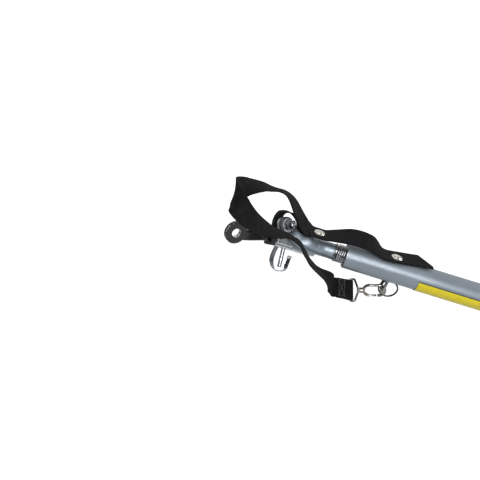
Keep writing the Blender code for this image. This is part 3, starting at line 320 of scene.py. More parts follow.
# %% Nickel plating and dark steel
def nickel(name, bright):
    f = Finish(name, (0.50, 0.48, 0.44), 0.16, 1.0)
    dull, clear = shade((0.36, 0.34, 0.31), bright), shade((0.56, 0.53, 0.49), bright)
    tone = f.mix(f.patches(240, 4, 0.35, 0.65), dull, clear)
    pits = f.patches(1500, 3, 0.68, 0.74, 0, 0.6)
    scratches = f.noise(1, 5, 0.7, f.place((300, 3200, 900), (0.3, 0.2, 0.7)))
    f.give(Base_Color=f.mix(pits, tone, (0.20, 0.17, 0.13)),
           Roughness=f.ramp(scratches, 0.35, 0.75, 0.10, 0.30))
    f.bump(f.noise(190, 4), 0.00025, 0.35)
    return f.mat


def dark_steel(name, tint):
    f = Finish(name, tint, 0.30, 0.9)
    oil = f.patches(520, 4, 0.35, 0.65)
    f.give(Base_Color=f.mix(oil, shade(tint, 0.55), shade(tint, 1.5)),
           Roughness=f.ramp(oil, 0, 1, 0.20, 0.42))
    f.bump(f.noise(1400, 3), 0.00004, 0.5)
    return f.mat


NICKEL = nickel("nickel_skin", 1.25)
CAST_NICKEL = nickel("cast_nickel_skin", 0.5)
SPRING_STEEL = dark_steel("oiled_spring_steel", (0.42, 0.43, 0.44))
RING_STEEL = dark_steel("ring_steel", (0.060, 0.060, 0.064))
print("made nickel and steel")

# %% [markdown]
# ### Black paint, rubber and plastic
#
# The bracket is painted black over a cast surface, so its bump is coarse. Its sharp edges are
# painted pale grey and metallic: partly bare steel where the paint wore, partly a painted
# highlight along them. The bush is dull rubber, and the cap and the hidden plug are moulded
# plastic.

# %% Black paint, rubber and moulded plastic
def black_paint(name):
    f = Finish(name, (0.006, 0.006, 0.007), 0.26, Specular_IOR_Level=0.15,
               Coat_Weight=0.5, Coat_Roughness=0.06)
    tone = f.mix(f.patches(90, 5, 0.3, 0.7), (0.003, 0.003, 0.004), (0.009, 0.009, 0.010))
    # Sharp edges turn pale grey and metallic: partly worn paint, partly a painted highlight.
    bare = f.edge(0.30, 0.8)
    f.give(Base_Color=f.mix(bare, tone, (0.55, 0.55, 0.55)),
           Metallic=f.ramp(bare, 0, 1, 0.0, 0.9),
           Roughness=f.patches(700, 4, 0.3, 0.7, 0.18, 0.34))
    f.bump(f.noise(620, 4, 0.6), 0.00016, 0.5)
    f.bump(f.noise(3000, 2), 0.00003, 0.4)
    return f.mat


def moulded(name, tint, gloss, grain_scale, grain_depth):
    f = Finish(name, tint, gloss)
    dust = f.patches(140, 5, 0.35, 0.75, rough=0.65)
    f.give(Base_Color=f.mix(dust, tint, shade(tint, 1.8, 0.004)),
           Roughness=f.ramp(dust, 0, 1, gloss - 0.06, gloss + 0.14))
    f.bump(f.cells(grain_scale), grain_depth, 0.6)
    f.bump(f.noise(grain_scale * 0.2, 3), grain_depth * 2, 0.3)
    return f.mat


BLACK_PAINT = black_paint("black_bracket_paint")
RUBBER = moulded("black_rubber_skin", (0.020, 0.020, 0.020), 0.72, 3600, 0.00004)
PLASTIC = moulded("black_plastic_skin", (0.028, 0.028, 0.029), 0.50, 2600, 0.00005)
print("made", BLACK_PAINT.name, RUBBER.name, PLASTIC.name)

# %% [markdown]
# ### Webbing and thread
#
# Strap webbing is woven with its warp in narrow ribs along the strap, and each rib is a chain
# of small loops that lean to one side, then to the other. The UV map runs in metres along and
# across the strap, so two crossed waves draw that chain at its real size. Sewing thread is a
# twist of fine fibres, which a stretched noise gives.

# %% Webbing and thread
def webbing_cloth(name, rib, pick):
    """Ribs that are rib wide, with a loop at every pick along them."""
    f = Finish(name, (0.021, 0.021, 0.023), 0.82, Specular_IOR_Level=0.05,
               Sheen_Weight=0.02, Sheen_Roughness=0.45)
    along, across = f.along_across()
    rib_turn = f.times(across, 2 * pi / rib)
    ribs = f.math("ABSOLUTE", f.sine(f.times(rib_turn, 0.5)))
    lean = f.times(f.times(ribs, f.math("SIGN", f.sine(rib_turn))), 1.1)
    loops = f.times(f.plus(f.sine(f.plus(f.times(along, 2 * pi / pick), lean)), 1.0), 0.5)
    weave = f.times(ribs, f.plus(f.times(loops, 0.6), 0.4))
    wear = f.patches(75, 5, 0.35, 0.7, rough=0.6)
    low = f.mix(wear, (0.0036, 0.0036, 0.0040), (0.0060, 0.0060, 0.0065))
    high = f.mix(wear, (0.0105, 0.0105, 0.0112), (0.0185, 0.0185, 0.0195))
    fluff = f.patches(2600, 3, 0.62, 0.75, 0, 0.35, rough=0.7)
    # The weave's grooves are painted darker and its crests lighter: painted shade in the grooves.
    tone = f.mix(f.ramp(weave, 0.15, 0.9), low, high)
    f.give(Base_Color=f.mix(fluff, tone, (0.035, 0.035, 0.037)),
           Roughness=f.ramp(weave, 0, 1, 0.92, 0.66))
    f.bump(weave, 0.00035, 0.8)
    f.bump(f.noise(3200, 3), 0.00005, 0.5)
    return f.mat


def sewing_thread(name, tint):
    f = Finish(name, tint, 0.55, Sheen_Weight=0.3)
    twist = f.noise(1, 3, 0.5, f.place((2600, 5200, 2600)))
    # Along the twist the thread is painted darker in its grooves and lighter on its ridges: painted
    # shade.
    f.give(Base_Color=f.mix(f.ramp(twist, 0.35, 0.65), shade(tint, 0.6), shade(tint, 1.5)))
    f.bump(twist, 0.00006, 0.8)
    return f.mat


WEBBING = webbing_cloth("black_strap_webbing", 0.0013, 0.0017)
NARROW_WEBBING = webbing_cloth("black_tether_webbing", 0.0010, 0.0014)
THREAD = sewing_thread("black_sewing_thread", (0.060, 0.060, 0.064))
print("made cloth and thread")

# %% [markdown]
# ### Reflective tape
#
# The tape is a clear film over rows of tiny prisms, which show as a fine slanting lattice. The
# film is sealed to its backing in narrow bands across it, and its rim has gathered dirt.

# %% Reflective tape
TAPE_ARC, TAPE_R = 150, 0.0153
PRISM, SEAL_PITCH, RIM_FROM, RIM_TO = 0.0032, 0.012, 0.0012, 0.0008


def prism_tape(name, width):
    f = Finish(name, (0.50, 0.42, 0.01), 0.36, Specular_IOR_Level=0.25,
               Coat_Weight=0.12, Coat_Roughness=0.12)
    along, across = f.along_across()
    first = f.sine(f.times(f.plus(along, across), 2 * pi / PRISM))
    second = f.sine(f.times(f.math("SUBTRACT", along, across), 2 * pi / PRISM))
    prisms = f.ramp(f.plus(first, f.times(second, 0.4)), -0.9, 0.9)
    seal = f.ramp(f.math("ABSOLUTE", f.sine(f.times(along, pi / SEAL_PITCH))), 0.06, 0.14)
    tone = f.mix(prisms, (0.44, 0.35, 0.006), (0.74, 0.62, 0.014))
    tone = f.mix(seal, (0.50, 0.42, 0.008), tone)
    tone = f.mix(f.patches(110, 5, 0.5, 0.8, 0, 0.25), tone, (0.22, 0.20, 0.06))
    rim = f.ramp(f.math("ABSOLUTE", across), width / 2 - RIM_FROM, width / 2 - RIM_TO)
    f.give(Base_Color=f.mix(rim, tone, (0.035, 0.036, 0.030)),
           Roughness=f.ramp(prisms, 0, 1, 0.34, 0.18))
    f.bump(prisms, 0.00012, 0.5)
    return f.mat


TAPE = prism_tape("yellow_prism_tape", TAPE_R * radians(TAPE_ARC))
print("made", TAPE.name)

# %% [markdown]
# ## Tools for the shapes
#
# Most pieces here are a skin over a row of closed sections, or a turned profile, which is the
# same thing with rings for sections. A skin is quick to reason about: the points are computed,
# and the faces between neighbouring rings follow. Each tool returns a plain mesh whose place is
# already in its points, so its object stays at the origin.

# %% Skins and turned profiles
POLE_R = 0.000004


def settle(obj, place=None, sharp=35):
    """Carries a mesh to its place, and shades it smooth except along its sharp edges."""
    if place:
        obj.data.transform(place)
    obj.data.shade_smooth()
    obj.data.set_sharp_from_angle(angle=radians(sharp))
    return obj


def mesh_piece(name, bm, place=None, sharp=35):
    bmesh.ops.recalc_face_normals(bm, faces=bm.faces)
    obj = add_object(name, bpy.data.meshes.new(name))
    bm.to_mesh(obj.data)
    bm.free()
    return settle(obj, place, sharp)


def skin(name, rings, place=None, endless=False, sharp=35):
    """Faces between neighbouring rings. The ends are closed, or the last ring joins the first."""
    bm = bmesh.new()
    rows = [[bm.verts.new(p) for p in ring] for ring in rings]
    for first, second in zip(rows, rows[1:] + rows[:1] if endless else rows[1:]):
        for k in range(len(first)):
            n = (k + 1) % len(first)
            bm.faces.new((first[k], first[n], second[n], second[k]))
    if not endless:
        bm.faces.new(rows[0])
        bm.faces.new(rows[-1])
    return mesh_piece(name, bm, place, sharp)


def full_turn(count, offset=0.0):
    return [2 * pi * (k + offset) / count for k in range(count)]


def turned(name, profile, place=None, steps=64):
    """A profile of (radius, height) points turned about the local Z axis."""
    rings = []
    for radius, height in profile:
        r = max(radius, POLE_R)
        rings.append([Vector((r * cos(a), r * sin(a), height)) for a in full_turn(steps)])
    return skin(name, rings, place)


def circle(centre, side, lift, radius, count):
    return [centre + (side * cos(a) + lift * sin(a)) * radius for a in full_turn(count)]


print("skin tools ready")


# %% Paths
def square_to(way, vector):
    """The part of a vector that stands square to a way, made one long."""
    return (vector - way * vector.dot(way)).normalized()


def directions(path):
    """The direction of a path at each of its points."""
    longer = [path[0], *path, path[-1]]
    return [(after - before).normalized() for before, after in zip(longer, longer[2:])]


def rounded(corners, radius, steps):
    """A path through corner points with an arc at each inner corner."""
    pts = [Vector(p) for p in corners]
    path = [pts[0]]
    for before, corner, after in zip(pts, pts[1:], pts[2:]):
        back, on = (before - corner).normalized(), (after - corner).normalized()
        half = (pi - back.angle(on)) / 2
        centre = corner + (back + on).normalized() * (radius / cos(half))
        first = corner + back * radius * tan(half) - centre
        last = corner + on * radius * tan(half) - centre
        axis = first.cross(last).normalized()
        for k in range(steps + 1):
            path.append(centre + Matrix.Rotation(2 * half * k / steps, 3, axis) @ first)
    return path + [pts[-1]]


print("path tools ready")


# %% Finish, body and worn edges
def dress(obj, mat, body, *nodes, slot=None):
    """Gives a piece its finish, its body, and the CAD nodes that it stands for."""
    obj.data.materials.clear()
    obj.data.materials.append(mat)
    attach(obj, body)
    if nodes:
        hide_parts(*nodes)
    print(f"{obj.name}: {len(obj.data.polygons)} faces on {body}")


def mark_edges(obj, least=0.12, full=0.8):
    """Writes the attribute edge: 1 where faces meet sharply, 0 where they lie flat."""
    bm = bmesh.new()
    bm.from_mesh(obj.data)
    worn = [0.0] * len(bm.verts)
    for edge in bm.edges:
        bend = edge.calc_face_angle_signed(0.0) if len(edge.link_faces) == 2 else 0.0
        if bend > least:
            for vert in edge.verts:
                worn[vert.index] = max(worn[vert.index], min(bend / full, 1.0))
    bm.free()
    obj.data.attributes.new("edge", "FLOAT", "POINT").data.foreach_set("value", worn)
    return obj


print("dressing tools ready")

# %% [markdown]
# ## The drawbar
#
# The tube is one length of steel, bent once on a 90 mm radius. A skin over circles along the
# bent centre line gives it, and the same circles, a wall's thickness smaller, run back inside,
# so the mouth shows a real wall with a small chamfer. The end cap is moulded with a lip.

# %% The tube
TUBE_R, TUBE_WALL, TUBE_SIDES = 0.0150, 0.0016, 72
BEND_R, TUBE_STEP, TUBE_END = 0.090, 0.012, -0.0033


def tube_path():
    path = rounded((MOUTH, BEND_AT, Vector((TUBE_END, 0, 0))), BEND_R, 36)
    fine = []
    for a, b in zip(path, path[1:]):
        parts = max(1, round((b - a).length / TUBE_STEP))
        fine += [a.lerp(b, k / parts) for k in range(parts)]
    fine.append(path[-1])
    fine.insert(1, fine[0].lerp(fine[1], 0.12))
    fine.insert(-1, fine[-1].lerp(fine[-2], 0.12))
    return fine


def drawbar_skin():
    path, chamfer, inside = tube_path(), 0.0003, TUBE_R - TUBE_WALL
    stations = list(zip(path, directions(path)))

    def ring(station, radius, push=0.0):
        centre, way = station
        side = square_to(way, Vector((0, 0, 1)))
        return circle(centre + way * push, side, way.cross(side), radius, TUBE_SIDES)

    start, *middle, end = stations
    lip = [(inside, chamfer), (inside + chamfer, 0), (TUBE_R - chamfer, 0), (TUBE_R, chamfer)]
    rings = [ring(start, radius, push) for radius, push in lip]
    rings += [ring(station, TUBE_R) for station in middle]
    rings += [ring(end, radius, -push) for radius, push in reversed(lip)]
    rings += [ring(station, inside) for station in reversed(middle)]
    return skin("drawbar_skin", rings, endless=True)


dress(mark_edges(drawbar_skin()), GREY_PAINT, "drawbar", "drawbar_tube", slot="grey_paint")

# %% The end cap
CAP_LIP, CAP_PLUG = 0.0030, 0.0120
plug_r = TUBE_R - TUBE_WALL - GAP
plug_end = -CAP_LIP - CAP_PLUG
cap = turned("end_cap_moulded", [
    (0, 0), (0.0088, 0), (0.0091, -0.0004), (0.0099, -0.0004), (0.0102, 0), (TUBE_R - 0.0012, 0),
    (TUBE_R - 0.0006, -0.00018), (TUBE_R - 0.00018, -0.0006), (TUBE_R, -0.0012),
    (TUBE_R, -CAP_LIP), (plug_r, -CAP_LIP), (plug_r, -0.0050), (plug_r - 0.0006, -0.0054),
    (plug_r, -0.0062), (plug_r, -0.0080), (plug_r - 0.0006, -0.0084), (plug_r, -0.0092),
    (plug_r, plug_end + 0.001), (plug_r - 0.001, plug_end), (0, plug_end),
], ALONG_X)
dress(cap, PLASTIC, "drawbar", "end_cap", slot="black_plastic")

# %% [markdown]
# ### The tape on the tube
#
# The tape is a thin film stuck round the lower near side of the tube, so it is an arc of the
# tube's own cylinder, a little larger: two grids of points, closed along their rims. Its UV map
# is in metres, so its prisms have their real size, and its corners are just taken off.

# %% The tape on the tube
TAPE_START, TAPE_END, TAPE_THICK, TAPE_MIDDLE = 0.0870, 0.2070, 0.0004, radians(28)
TAPE_CORNER, TAPE_ROWS, TAPE_COLUMNS = 0.0010, 120, 36


def tape_spot(i, k):
    """Where a point of the tape lies, in metres from its start and from its middle line."""
    length, half = TAPE_END - TAPE_START, radians(TAPE_ARC) / 2
    u = length * i / TAPE_ROWS
    limit = half * TAPE_R
    from_end = min(u, length - u)
    if from_end < TAPE_CORNER:
        limit -= TAPE_CORNER - sqrt(max(TAPE_CORNER ** 2 - (TAPE_CORNER - from_end) ** 2, 0))
    v = (2 * k / TAPE_COLUMNS - 1) * half * TAPE_R
    return u, max(-limit, min(limit, v))


def tape_band():
    bm = bmesh.new()
    weave = bm.loops.layers.uv.new("weave")
    spots, grids = {}, []
    for radius in (TAPE_R, TAPE_R + TAPE_THICK):
        rows = [[None] * (TAPE_COLUMNS + 1) for _ in range(TAPE_ROWS + 1)]
        for i, row in enumerate(rows):
            for k in range(TAPE_COLUMNS + 1):
                u, v = tape_spot(i, k)
                a = v / TAPE_R + TAPE_MIDDLE
                row[k] = bm.verts.new((TAPE_START + u, -radius * sin(a), -radius * cos(a)))
                spots[row[k]] = (u, v)
        grids.append(rows)
    inner, outer = grids

    def patch(*corners):
        face = bm.faces.new(corners)
        for loop in face.loops:
            loop[weave].uv = spots[loop.vert]

    for i in range(TAPE_ROWS):
        for k in range(TAPE_COLUMNS):
            patch(outer[i][k], outer[i + 1][k], outer[i + 1][k + 1], outer[i][k + 1])
            patch(inner[i][k], inner[i][k + 1], inner[i + 1][k + 1], inner[i + 1][k])
    for i in range(TAPE_ROWS):
        for k in (0, TAPE_COLUMNS):
            patch(inner[i][k], inner[i + 1][k], outer[i + 1][k], outer[i][k])
    for k in range(TAPE_COLUMNS):
        for i in (0, TAPE_ROWS):
            patch(inner[i][k], inner[i][k + 1], outer[i][k + 1], outer[i][k])
    bmesh.ops.remove_doubles(bm, verts=bm.verts, dist=0.000002)
    return mesh_piece("reflective_tape_band", bm, BAR)


dress(tape_band(), TAPE, "drawbar", "reflective_tape", slot="yellow_tape")

# %% [markdown]
# ## The coil spring, with Geometry Nodes
#
# A coil spring follows a rule, so a node tree can make it from four sizes: the wire, the coil,
# the pitch and the number of turns. A Spiral curve gives the centre line and Curve to Mesh puts
# the wire round it. The tree is built here, its inputs are set through their identifiers, and
# the result becomes a plain mesh. The split ring under the drawbar is the same tree, with two
# turns that lie on each other.

# %% A class for Geometry Nodes trees
GROWN_SHARP = 50


class Growth(Nodes):
    """A tree with named inputs, which ends in Realize Instances and Set Material."""
    def __init__(self, name, **inputs):
        super().__init__(bpy.data.node_groups.new(name, "GeometryNodeTree"))
        face = self.tree.interface
        for label, kind in {"Geometry": "Geometry", **inputs, "Material": "Material"}.items():
            face.new_socket(label, in_out="INPUT", socket_type="NodeSocket" + kind)
        face.new_socket("Geometry", in_out="OUTPUT", socket_type="NodeSocketGeometry")
        self.given = self.node("NodeGroupInput").outputs

    def close(self, geometry):
        real = self.node("GeometryNodeRealizeInstances", Geometry=geometry).outputs[0]
        painted = self.node("GeometryNodeSetMaterial", Geometry=real,
                            Material=self.given["Material"])
        self.node("NodeGroupOutput", Geometry=painted.outputs[0])


def applied(obj):
    """Turns what the modifiers make into the object's own mesh, and removes the modifiers."""
    bpy.context.view_layer.update()
    shown = obj.evaluated_get(bpy.context.evaluated_depsgraph_get())
    made = bpy.data.meshes.new_from_object(shown)
    made.name = obj.name
    obj.modifiers.clear()
    obj.data = made
    return obj


def grow(name, growth, place=None, base=None, **values):
    """Runs a tree with the given inputs, and keeps the plain mesh that comes out."""
    obj = add_object(name, base or bpy.data.meshes.new(name))
    mod = obj.modifiers.new("grow", "NODES")
    mod.node_group = growth.tree
    for item in growth.tree.interface.items_tree:
        if item.name in values:
            mod[item.identifier] = values[item.name]
    return settle(applied(obj), place, GROWN_SHARP)


print("class for trees ready")


# %% The coil's tree
def coil_growth():
    coil = Growth("coil", Wire="Float", Coil="Float", Pitch="Float", Turns="Float",
                  Steps="Int", Sides="Int")
    given = coil.given
    spiral = coil.node("GeometryNodeCurveSpiral", Resolution=given["Steps"],
                       Rotations=given["Turns"], Start_Radius=given["Coil"],
                       End_Radius=given["Coil"], Height=coil.times(given["Pitch"], given["Turns"]))
    section = coil.node("GeometryNodeCurvePrimitiveCircle", Resolution=given["Sides"],
                        Radius=coil.times(given["Wire"], 0.5))
    wire = coil.node("GeometryNodeCurveToMesh", Curve=spiral.outputs["Curve"],
                     Profile_Curve=section.outputs["Curve"], Fill_Caps=True)
    coil.close(wire.outputs["Mesh"])
    return coil


COIL = coil_growth()
SPRING_WIRE, SPRING_OD, SPRING_PITCH, SEAT_T = 0.0019, 0.0220, 0.0024, 0.0014
SEAT_FACE = SPRING_FRONT + GAP
SPRING_START = SEAT_FACE + SEAT_T + GAP + SPRING_WIRE * 0.5
SPRING_TURNS = (0.0120 - SPRING_WIRE / 2 - SPRING_START) / SPRING_PITCH
spring = grow("coupling_spring", COIL, BAR @ shift(SPRING_START) @ ALONG_X,
              Wire=SPRING_WIRE, Coil=(SPRING_OD - SPRING_WIRE) / 2, Pitch=SPRING_PITCH,
              Turns=SPRING_TURNS, Steps=48, Sides=16, Material=SPRING_STEEL)
dress(spring, SPRING_STEEL, "arm", "flex_spring", slot="spring_steel")
print(f"spring: {SPRING_TURNS:.1f} turns")

# %% [markdown]
# ### The spring's seat, and the pieces inside
#
# The seat is a turned plug between the arm and the spring, with a spigot into each. The plug in
# the tube's mouth and the rubber core are hidden, and their CAD shapes are right as they are,
# so they only get a finish.

# %% The spring's seat, and the pieces inside
EDGE, SPIGOT, SEAT_R, BORE_R = 0.0004, 0.00826, 0.0110, 0.0072
seat_back, seat_deep = SEAT_FACE + SEAT_T, SEAT_FACE - 0.0120
seat = turned("spring_seat_turned", [
    (0, -0.0018), (SPIGOT - 0.0024, -0.0018), (SPIGOT - 0.0004, -0.0027), (SPIGOT, -0.0032),
    (SPIGOT, seat_back), (SEAT_R - EDGE, seat_back), (SEAT_R, seat_back - EDGE),
    (SEAT_R, SEAT_FACE + EDGE), (SEAT_R - EDGE, SEAT_FACE), (BORE_R, SEAT_FACE),
    (BORE_R, seat_deep), (0, seat_deep),
], BAR @ ALONG_X)
dress(mark_edges(seat), BLACK_PAINT, "arm", "spring_seat", slot="black_steel")

for node, finish in (("spring_anchor", PLASTIC), ("flex_core", RUBBER)):
    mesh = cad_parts[node].data
    mesh.materials.clear()
    mesh.materials.append(finish)
    print(node, "gets", finish.name)

# %% [markdown]
# ## The bent arm
#
# The arm starts as a 19 mm tube at the spring, bends round to the hitch, and is pressed flat at
# its end, where the bolt goes through. The skin's sections change from a circle to a rounded
# slab on the way, which is what the press does to the real tube.

# %% Paths through points, and sections between a circle and a slab
def smooth_path(points, per_span):
    """A Catmull-Rom curve through the points."""
    pts = [Vector(p) for p in points]
    pts = [2 * pts[0] - pts[1]] + pts + [2 * pts[-1] - pts[-2]]
    out = []
    for i in range(1, len(pts) - 2):
        a, b, c, d = pts[i - 1:i + 3]
        for k in range(per_span):
            t = k / per_span
            square = (2 * a - 5 * b + 4 * c - d) * t * t
            cube = (3 * b - a - 3 * c + d) * t ** 3
            out.append(0.5 * (2 * b + (c - a) * t + square + cube))
    out.append(pts[-2])
    return out


def super_ring(centre, side, lift, half_width, half_height, power, count):
    """A ring that is round where the power is 1, and square where it nears 0."""
    ring = []
    for a in full_turn(count, 0.5):
        x = half_width * abs(cos(a)) ** power * (1 if cos(a) >= 0 else -1)
        y = half_height * abs(sin(a)) ** power * (1 if sin(a) >= 0 else -1)
        ring.append(centre + side * x + lift * y)
    return ring


def ease(t):
    """Goes from 0 to 1 with a soft start and a soft end."""
    t = min(max(t, 0), 1)
    return t * t * (3 - 2 * t)


def between(a, b, t):
    return (1 - t) * a + t * b


print("path and section tools ready")

# %% The bent arm
EYE_T, EYE_R, ARM_R = 0.0060, 0.0092, 0.0095
RECEIVER_HALF, RECEIVER_WALL, EAR_T = 0.00725, 0.0017, 0.0025
EAR_OUTER = -(RECEIVER_HALF + EAR_T)
EYE_INNER = EAR_OUTER - GAP
ARM_SIDES, ARM_FINE, SLAB_POWER = 56, 12, 0.42
ALONG_Y = Vector((0, 1, 0))


def arm_path(eye_at, axis):
    arm_plane = EYE_INNER - ARM_R
    corner = ARM_END - axis * ((ARM_END.y - arm_plane) / axis.y)
    down = Vector((0.88, 0, -0.47)).normalized()
    shoulder = Vector((eye_at.x + 0.0300, arm_plane, eye_at.z - 0.0140))
    path = smooth_path([
        eye_at - down * EYE_R, eye_at, eye_at + down * 0.0110, eye_at.lerp(shoulder, 0.70),
        shoulder, shoulder.lerp(corner, 0.62), corner.lerp(ARM_END, 0.22),
        corner.lerp(ARM_END, 0.60), ARM_END,
    ], ARM_FINE)
    for _ in range(60):
        for i in range(3 * ARM_FINE, 7 * ARM_FINE):
            path[i] = (path[i - 1] + path[i] * 2 + path[i + 1]) / 4
    return path


def bent_arm():
    eye_at = Vector((BOLT_X, EYE_INNER - EYE_T / 2, BOLT_Z))
    axis = BAR_IN_HITCH.to_3x3() @ Vector((1, 0, 0))
    path = arm_path(eye_at, axis)
    rings = []
    for i, (centre, way) in enumerate(zip(path, directions(path))):
        span = i / ARM_FINE
        way = axis if span > 6.9 else way
        side = square_to(way, ALONG_Y)
        height = EYE_R
        if span < 1:
            from_eye = min((centre - eye_at).length, EYE_R * 0.985)
            height = sqrt(EYE_R ** 2 - from_eye ** 2)
        tube = ease((span - 2.0) / 2.25)
        thick = between(EYE_T / 2, ARM_R, tube)
        if span <= 5:
            centre = Vector((centre.x, EYE_INNER - thick, centre.z))
        power = SLAB_POWER + (1 - SLAB_POWER) * tube
        rings.append(super_ring(centre, side, way.cross(side), thick,
                                between(height, ARM_R, tube), power, ARM_SIDES))
    side = square_to(axis, ALONG_Y)
    rings.pop()
    for back, less in ((0.0016, 0), (0.0004, 0), (0, 0.0004), (0, 0.0018), (0.0010, 0.0020)):
        rings.append(super_ring(path[-1] - axis * back, side, axis.cross(side), ARM_R - less,
                                ARM_R - less, 1.0, ARM_SIDES))
    return skin("bent_arm", rings, HITCH)


dress(mark_edges(bent_arm()), ARM_PAINT, "arm", "tow_arm", slot="arm_paint")

# %% [markdown]
# ## The receiver
#
# The receiver is a square tube with rounded corners, bored for the lock pin. A Boolean cuts the
# bore: it is exact, and it leaves the sharp rim that a drill leaves. A flat ear is welded to
# the receiver's near side, and the arm's eye is bolted to the ear.

# %% The receiver
RECEIVER_LENGTH, RECEIVER_CORNER, PIN_X = 0.0620, 0.0016, 0.0185


def square_ring(x, half, radius, steps=7):
    """A square with round corners, standing across the X axis."""
    ring = []
    for y_side, z_side, start in ((1, 1, 0), (-1, 1, 90), (-1, -1, 180), (1, -1, 270)):
        for k in range(steps + 1):
            a = radians(start + 90 * k / steps)
            ring.append(Vector((x, y_side * (half - radius) + radius * cos(a),
                                z_side * (half - radius) + radius * sin(a))))
    return ring


def receiver_tube():
    length, half, corner = RECEIVER_LENGTH, RECEIVER_HALF, RECEIVER_CORNER
    chamfer, lip, inner = 0.0004, 0.0002, RECEIVER_HALF - RECEIVER_WALL
    outside = (chamfer, chamfer + 0.0010, length * 0.5, length - chamfer - 0.0010, length - chamfer)
    sections = [(0, half - chamfer, corner - chamfer), *((x, half, corner) for x in outside),
                (length, half - chamfer, corner - chamfer), (length, inner + lip, 0.0006),
                (length - lip, inner, 0.0005), (lip, inner, 0.0005), (0, inner + lip, 0.0006)]
    return skin("receiver_body", [square_ring(*section) for section in sections], endless=True)


def modified(obj, kind, **settings):
    """Adds one modifier with its settings, and applies it."""
    mod = obj.modifiers.new(kind, kind)
    for key, value in settings.items():
        setattr(mod, key, value)
    return applied(obj)


def combine(obj, tool, operation):
    """Joins or cuts with a second closed shape, which is then removed."""
    modified(obj, "BOOLEAN", operation=operation, solver="EXACT", object=tool)
    bpy.data.objects.remove(tool, do_unlink=True)


receiver = receiver_tube()
bore = turned("bore", [(0, 0.02), (0.0027, 0.02), (0.0027, -0.02), (0, -0.02)], shift(PIN_X), 32)
combine(receiver, bore, "DIFFERENCE")
receiver.data.transform(HITCH)
dress(mark_edges(receiver), PALE_ZINC, "arm", "receiver", slot="receiver_zinc")

# %% The receiver's ear
EAR_R, EAR_LOW, EAR_ENDS = 0.0088, -0.0038, (0.0003, 0.0240)


def inset_flats(obj, width):
    """Puts a loop just inside the large flat faces, so that worn edges stay at the edges."""
    bm = bmesh.new()
    bm.from_mesh(obj.data)
    flats = [face for face in bm.faces if len(face.verts) > 8]
    bmesh.ops.inset_individual(bm, faces=flats, thickness=width)
    bm.to_mesh(obj.data)
    bm.free()


outline = [(EAR_ENDS[0], EAR_LOW), (EAR_ENDS[1], EAR_LOW), (EAR_ENDS[1], RECEIVER_HALF)]
for k in range(29):
    a = radians(-20) + radians(200) * k / 28
    outline.append((BOLT_X + EAR_R * cos(a), BOLT_Z + EAR_R * sin(a)))
outline.append((EAR_ENDS[0], RECEIVER_HALF))
faces_at = (EAR_OUTER, -RECEIVER_HALF + 0.0008)
ear = skin("receiver_ear", [[Vector((x, y, z)) for x, z in outline] for y in faces_at])
modified(ear, "BEVEL", width=0.0004, segments=2, limit_method="ANGLE", angle_limit=radians(35),
         harden_normals=False)
inset_flats(ear, 0.0008)
ear.data.transform(HITCH)
dress(mark_edges(ear), EAR_ZINC, "arm")

# %% [markdown]
# ### Beads along a seam
#
# The ear's weld is a row of overlapping beads, which is a job for Geometry Nodes: points along
# the seam at an even spacing, and a squashed ball on each, turned along the seam. Each ball is
# a little smaller than the full size by chance, from a fixed seed. Stitches are the same tree
# with the balls drawn out.

# %% A Geometry Nodes tree that sets beads along a seam
def seam_growth():
    seam = Growth("beads along a seam", Spacing="Float", Size="Vector", Seed="Int",
                  Unevenness="Float")
    given = seam.given
    rows = seam.node("GeometryNodeMeshToCurve", Mesh=given["Geometry"]).outputs["Curve"]
    spaced = seam.node("GeometryNodeResampleCurve", mode="LENGTH", Curve=rows,
                       Length=given["Spacing"])
    ball = seam.node("GeometryNodeMeshIcoSphere", Radius=1.0, Subdivisions=2).outputs["Mesh"]
    bead = seam.node("GeometryNodeSetShadeSmooth", Geometry=ball).outputs["Geometry"]
    tangent = seam.node("GeometryNodeInputTangent").outputs["Tangent"]
    along = seam.node("FunctionNodeAlignRotationToVector", axis="X", Vector=tangent)
    least = seam.math("SUBTRACT", 1.0, given["Unevenness"])
    chance = seam.node("FunctionNodeRandomValue", data_type="FLOAT", i2=least, i3=1.0,
                       Seed=given["Seed"]).outputs[1]
    size = seam.node("VectorMath", operation="SCALE", i0=given["Size"], Scale=chance)
    beads = seam.node("GeometryNodeInstanceOnPoints", Points=spaced.outputs["Curve"],
                      Instance=bead, Rotation=along.outputs["Rotation"],
                      Scale=size.outputs["Vector"])
    seam.close(beads.outputs["Instances"])
    return seam


SEAM = seam_growth()


def beads(name, runs, place, mat, **values):
    """Beads or stitches along rows of points."""
    points, edges = [], []
    for run in runs:
        start = len(points)
        points += [tuple(p) for p in run]
        edges += [(start + k, start + k + 1) for k in range(len(run) - 1)]
    rows = bpy.data.meshes.new(name + "_rows")
    rows.from_pydata(points, edges, [])
    return grow(name, SEAM, place, rows, Material=mat, **values)


foot_y, top_y, top_z = EAR_OUTER + 0.0013, -RECEIVER_HALF + 0.0012, RECEIVER_HALF + 0.0001
weld_runs = [
    [(0.0006, foot_y, -0.0040), (0.0237, foot_y, -0.0040)],
    [(0.0243, foot_y, -0.0036), (0.0243, foot_y, RECEIVER_HALF - 0.001)],
    [(0.0150, top_y, top_z), (0.0225, top_y, top_z)],
]
welds = beads("receiver_weld", weld_runs, HITCH, ZINC, Spacing=0.0009,
              Size=(0.0009, 0.0011, 0.0009), Seed=5, Unevenness=0.22)
dress(welds, ZINC, "arm")

# %% [markdown]
# ## The axle bracket
#
# The bracket is forged: a flat eye with a hole for the axle, a neck that twists from the eye's
# plane into the receiver's, and a square prong. Joining the three and then remeshing them
# finely rounds the corners where they meet, as a forging's are. The hole is bored last, so its
# rim stays crisp.

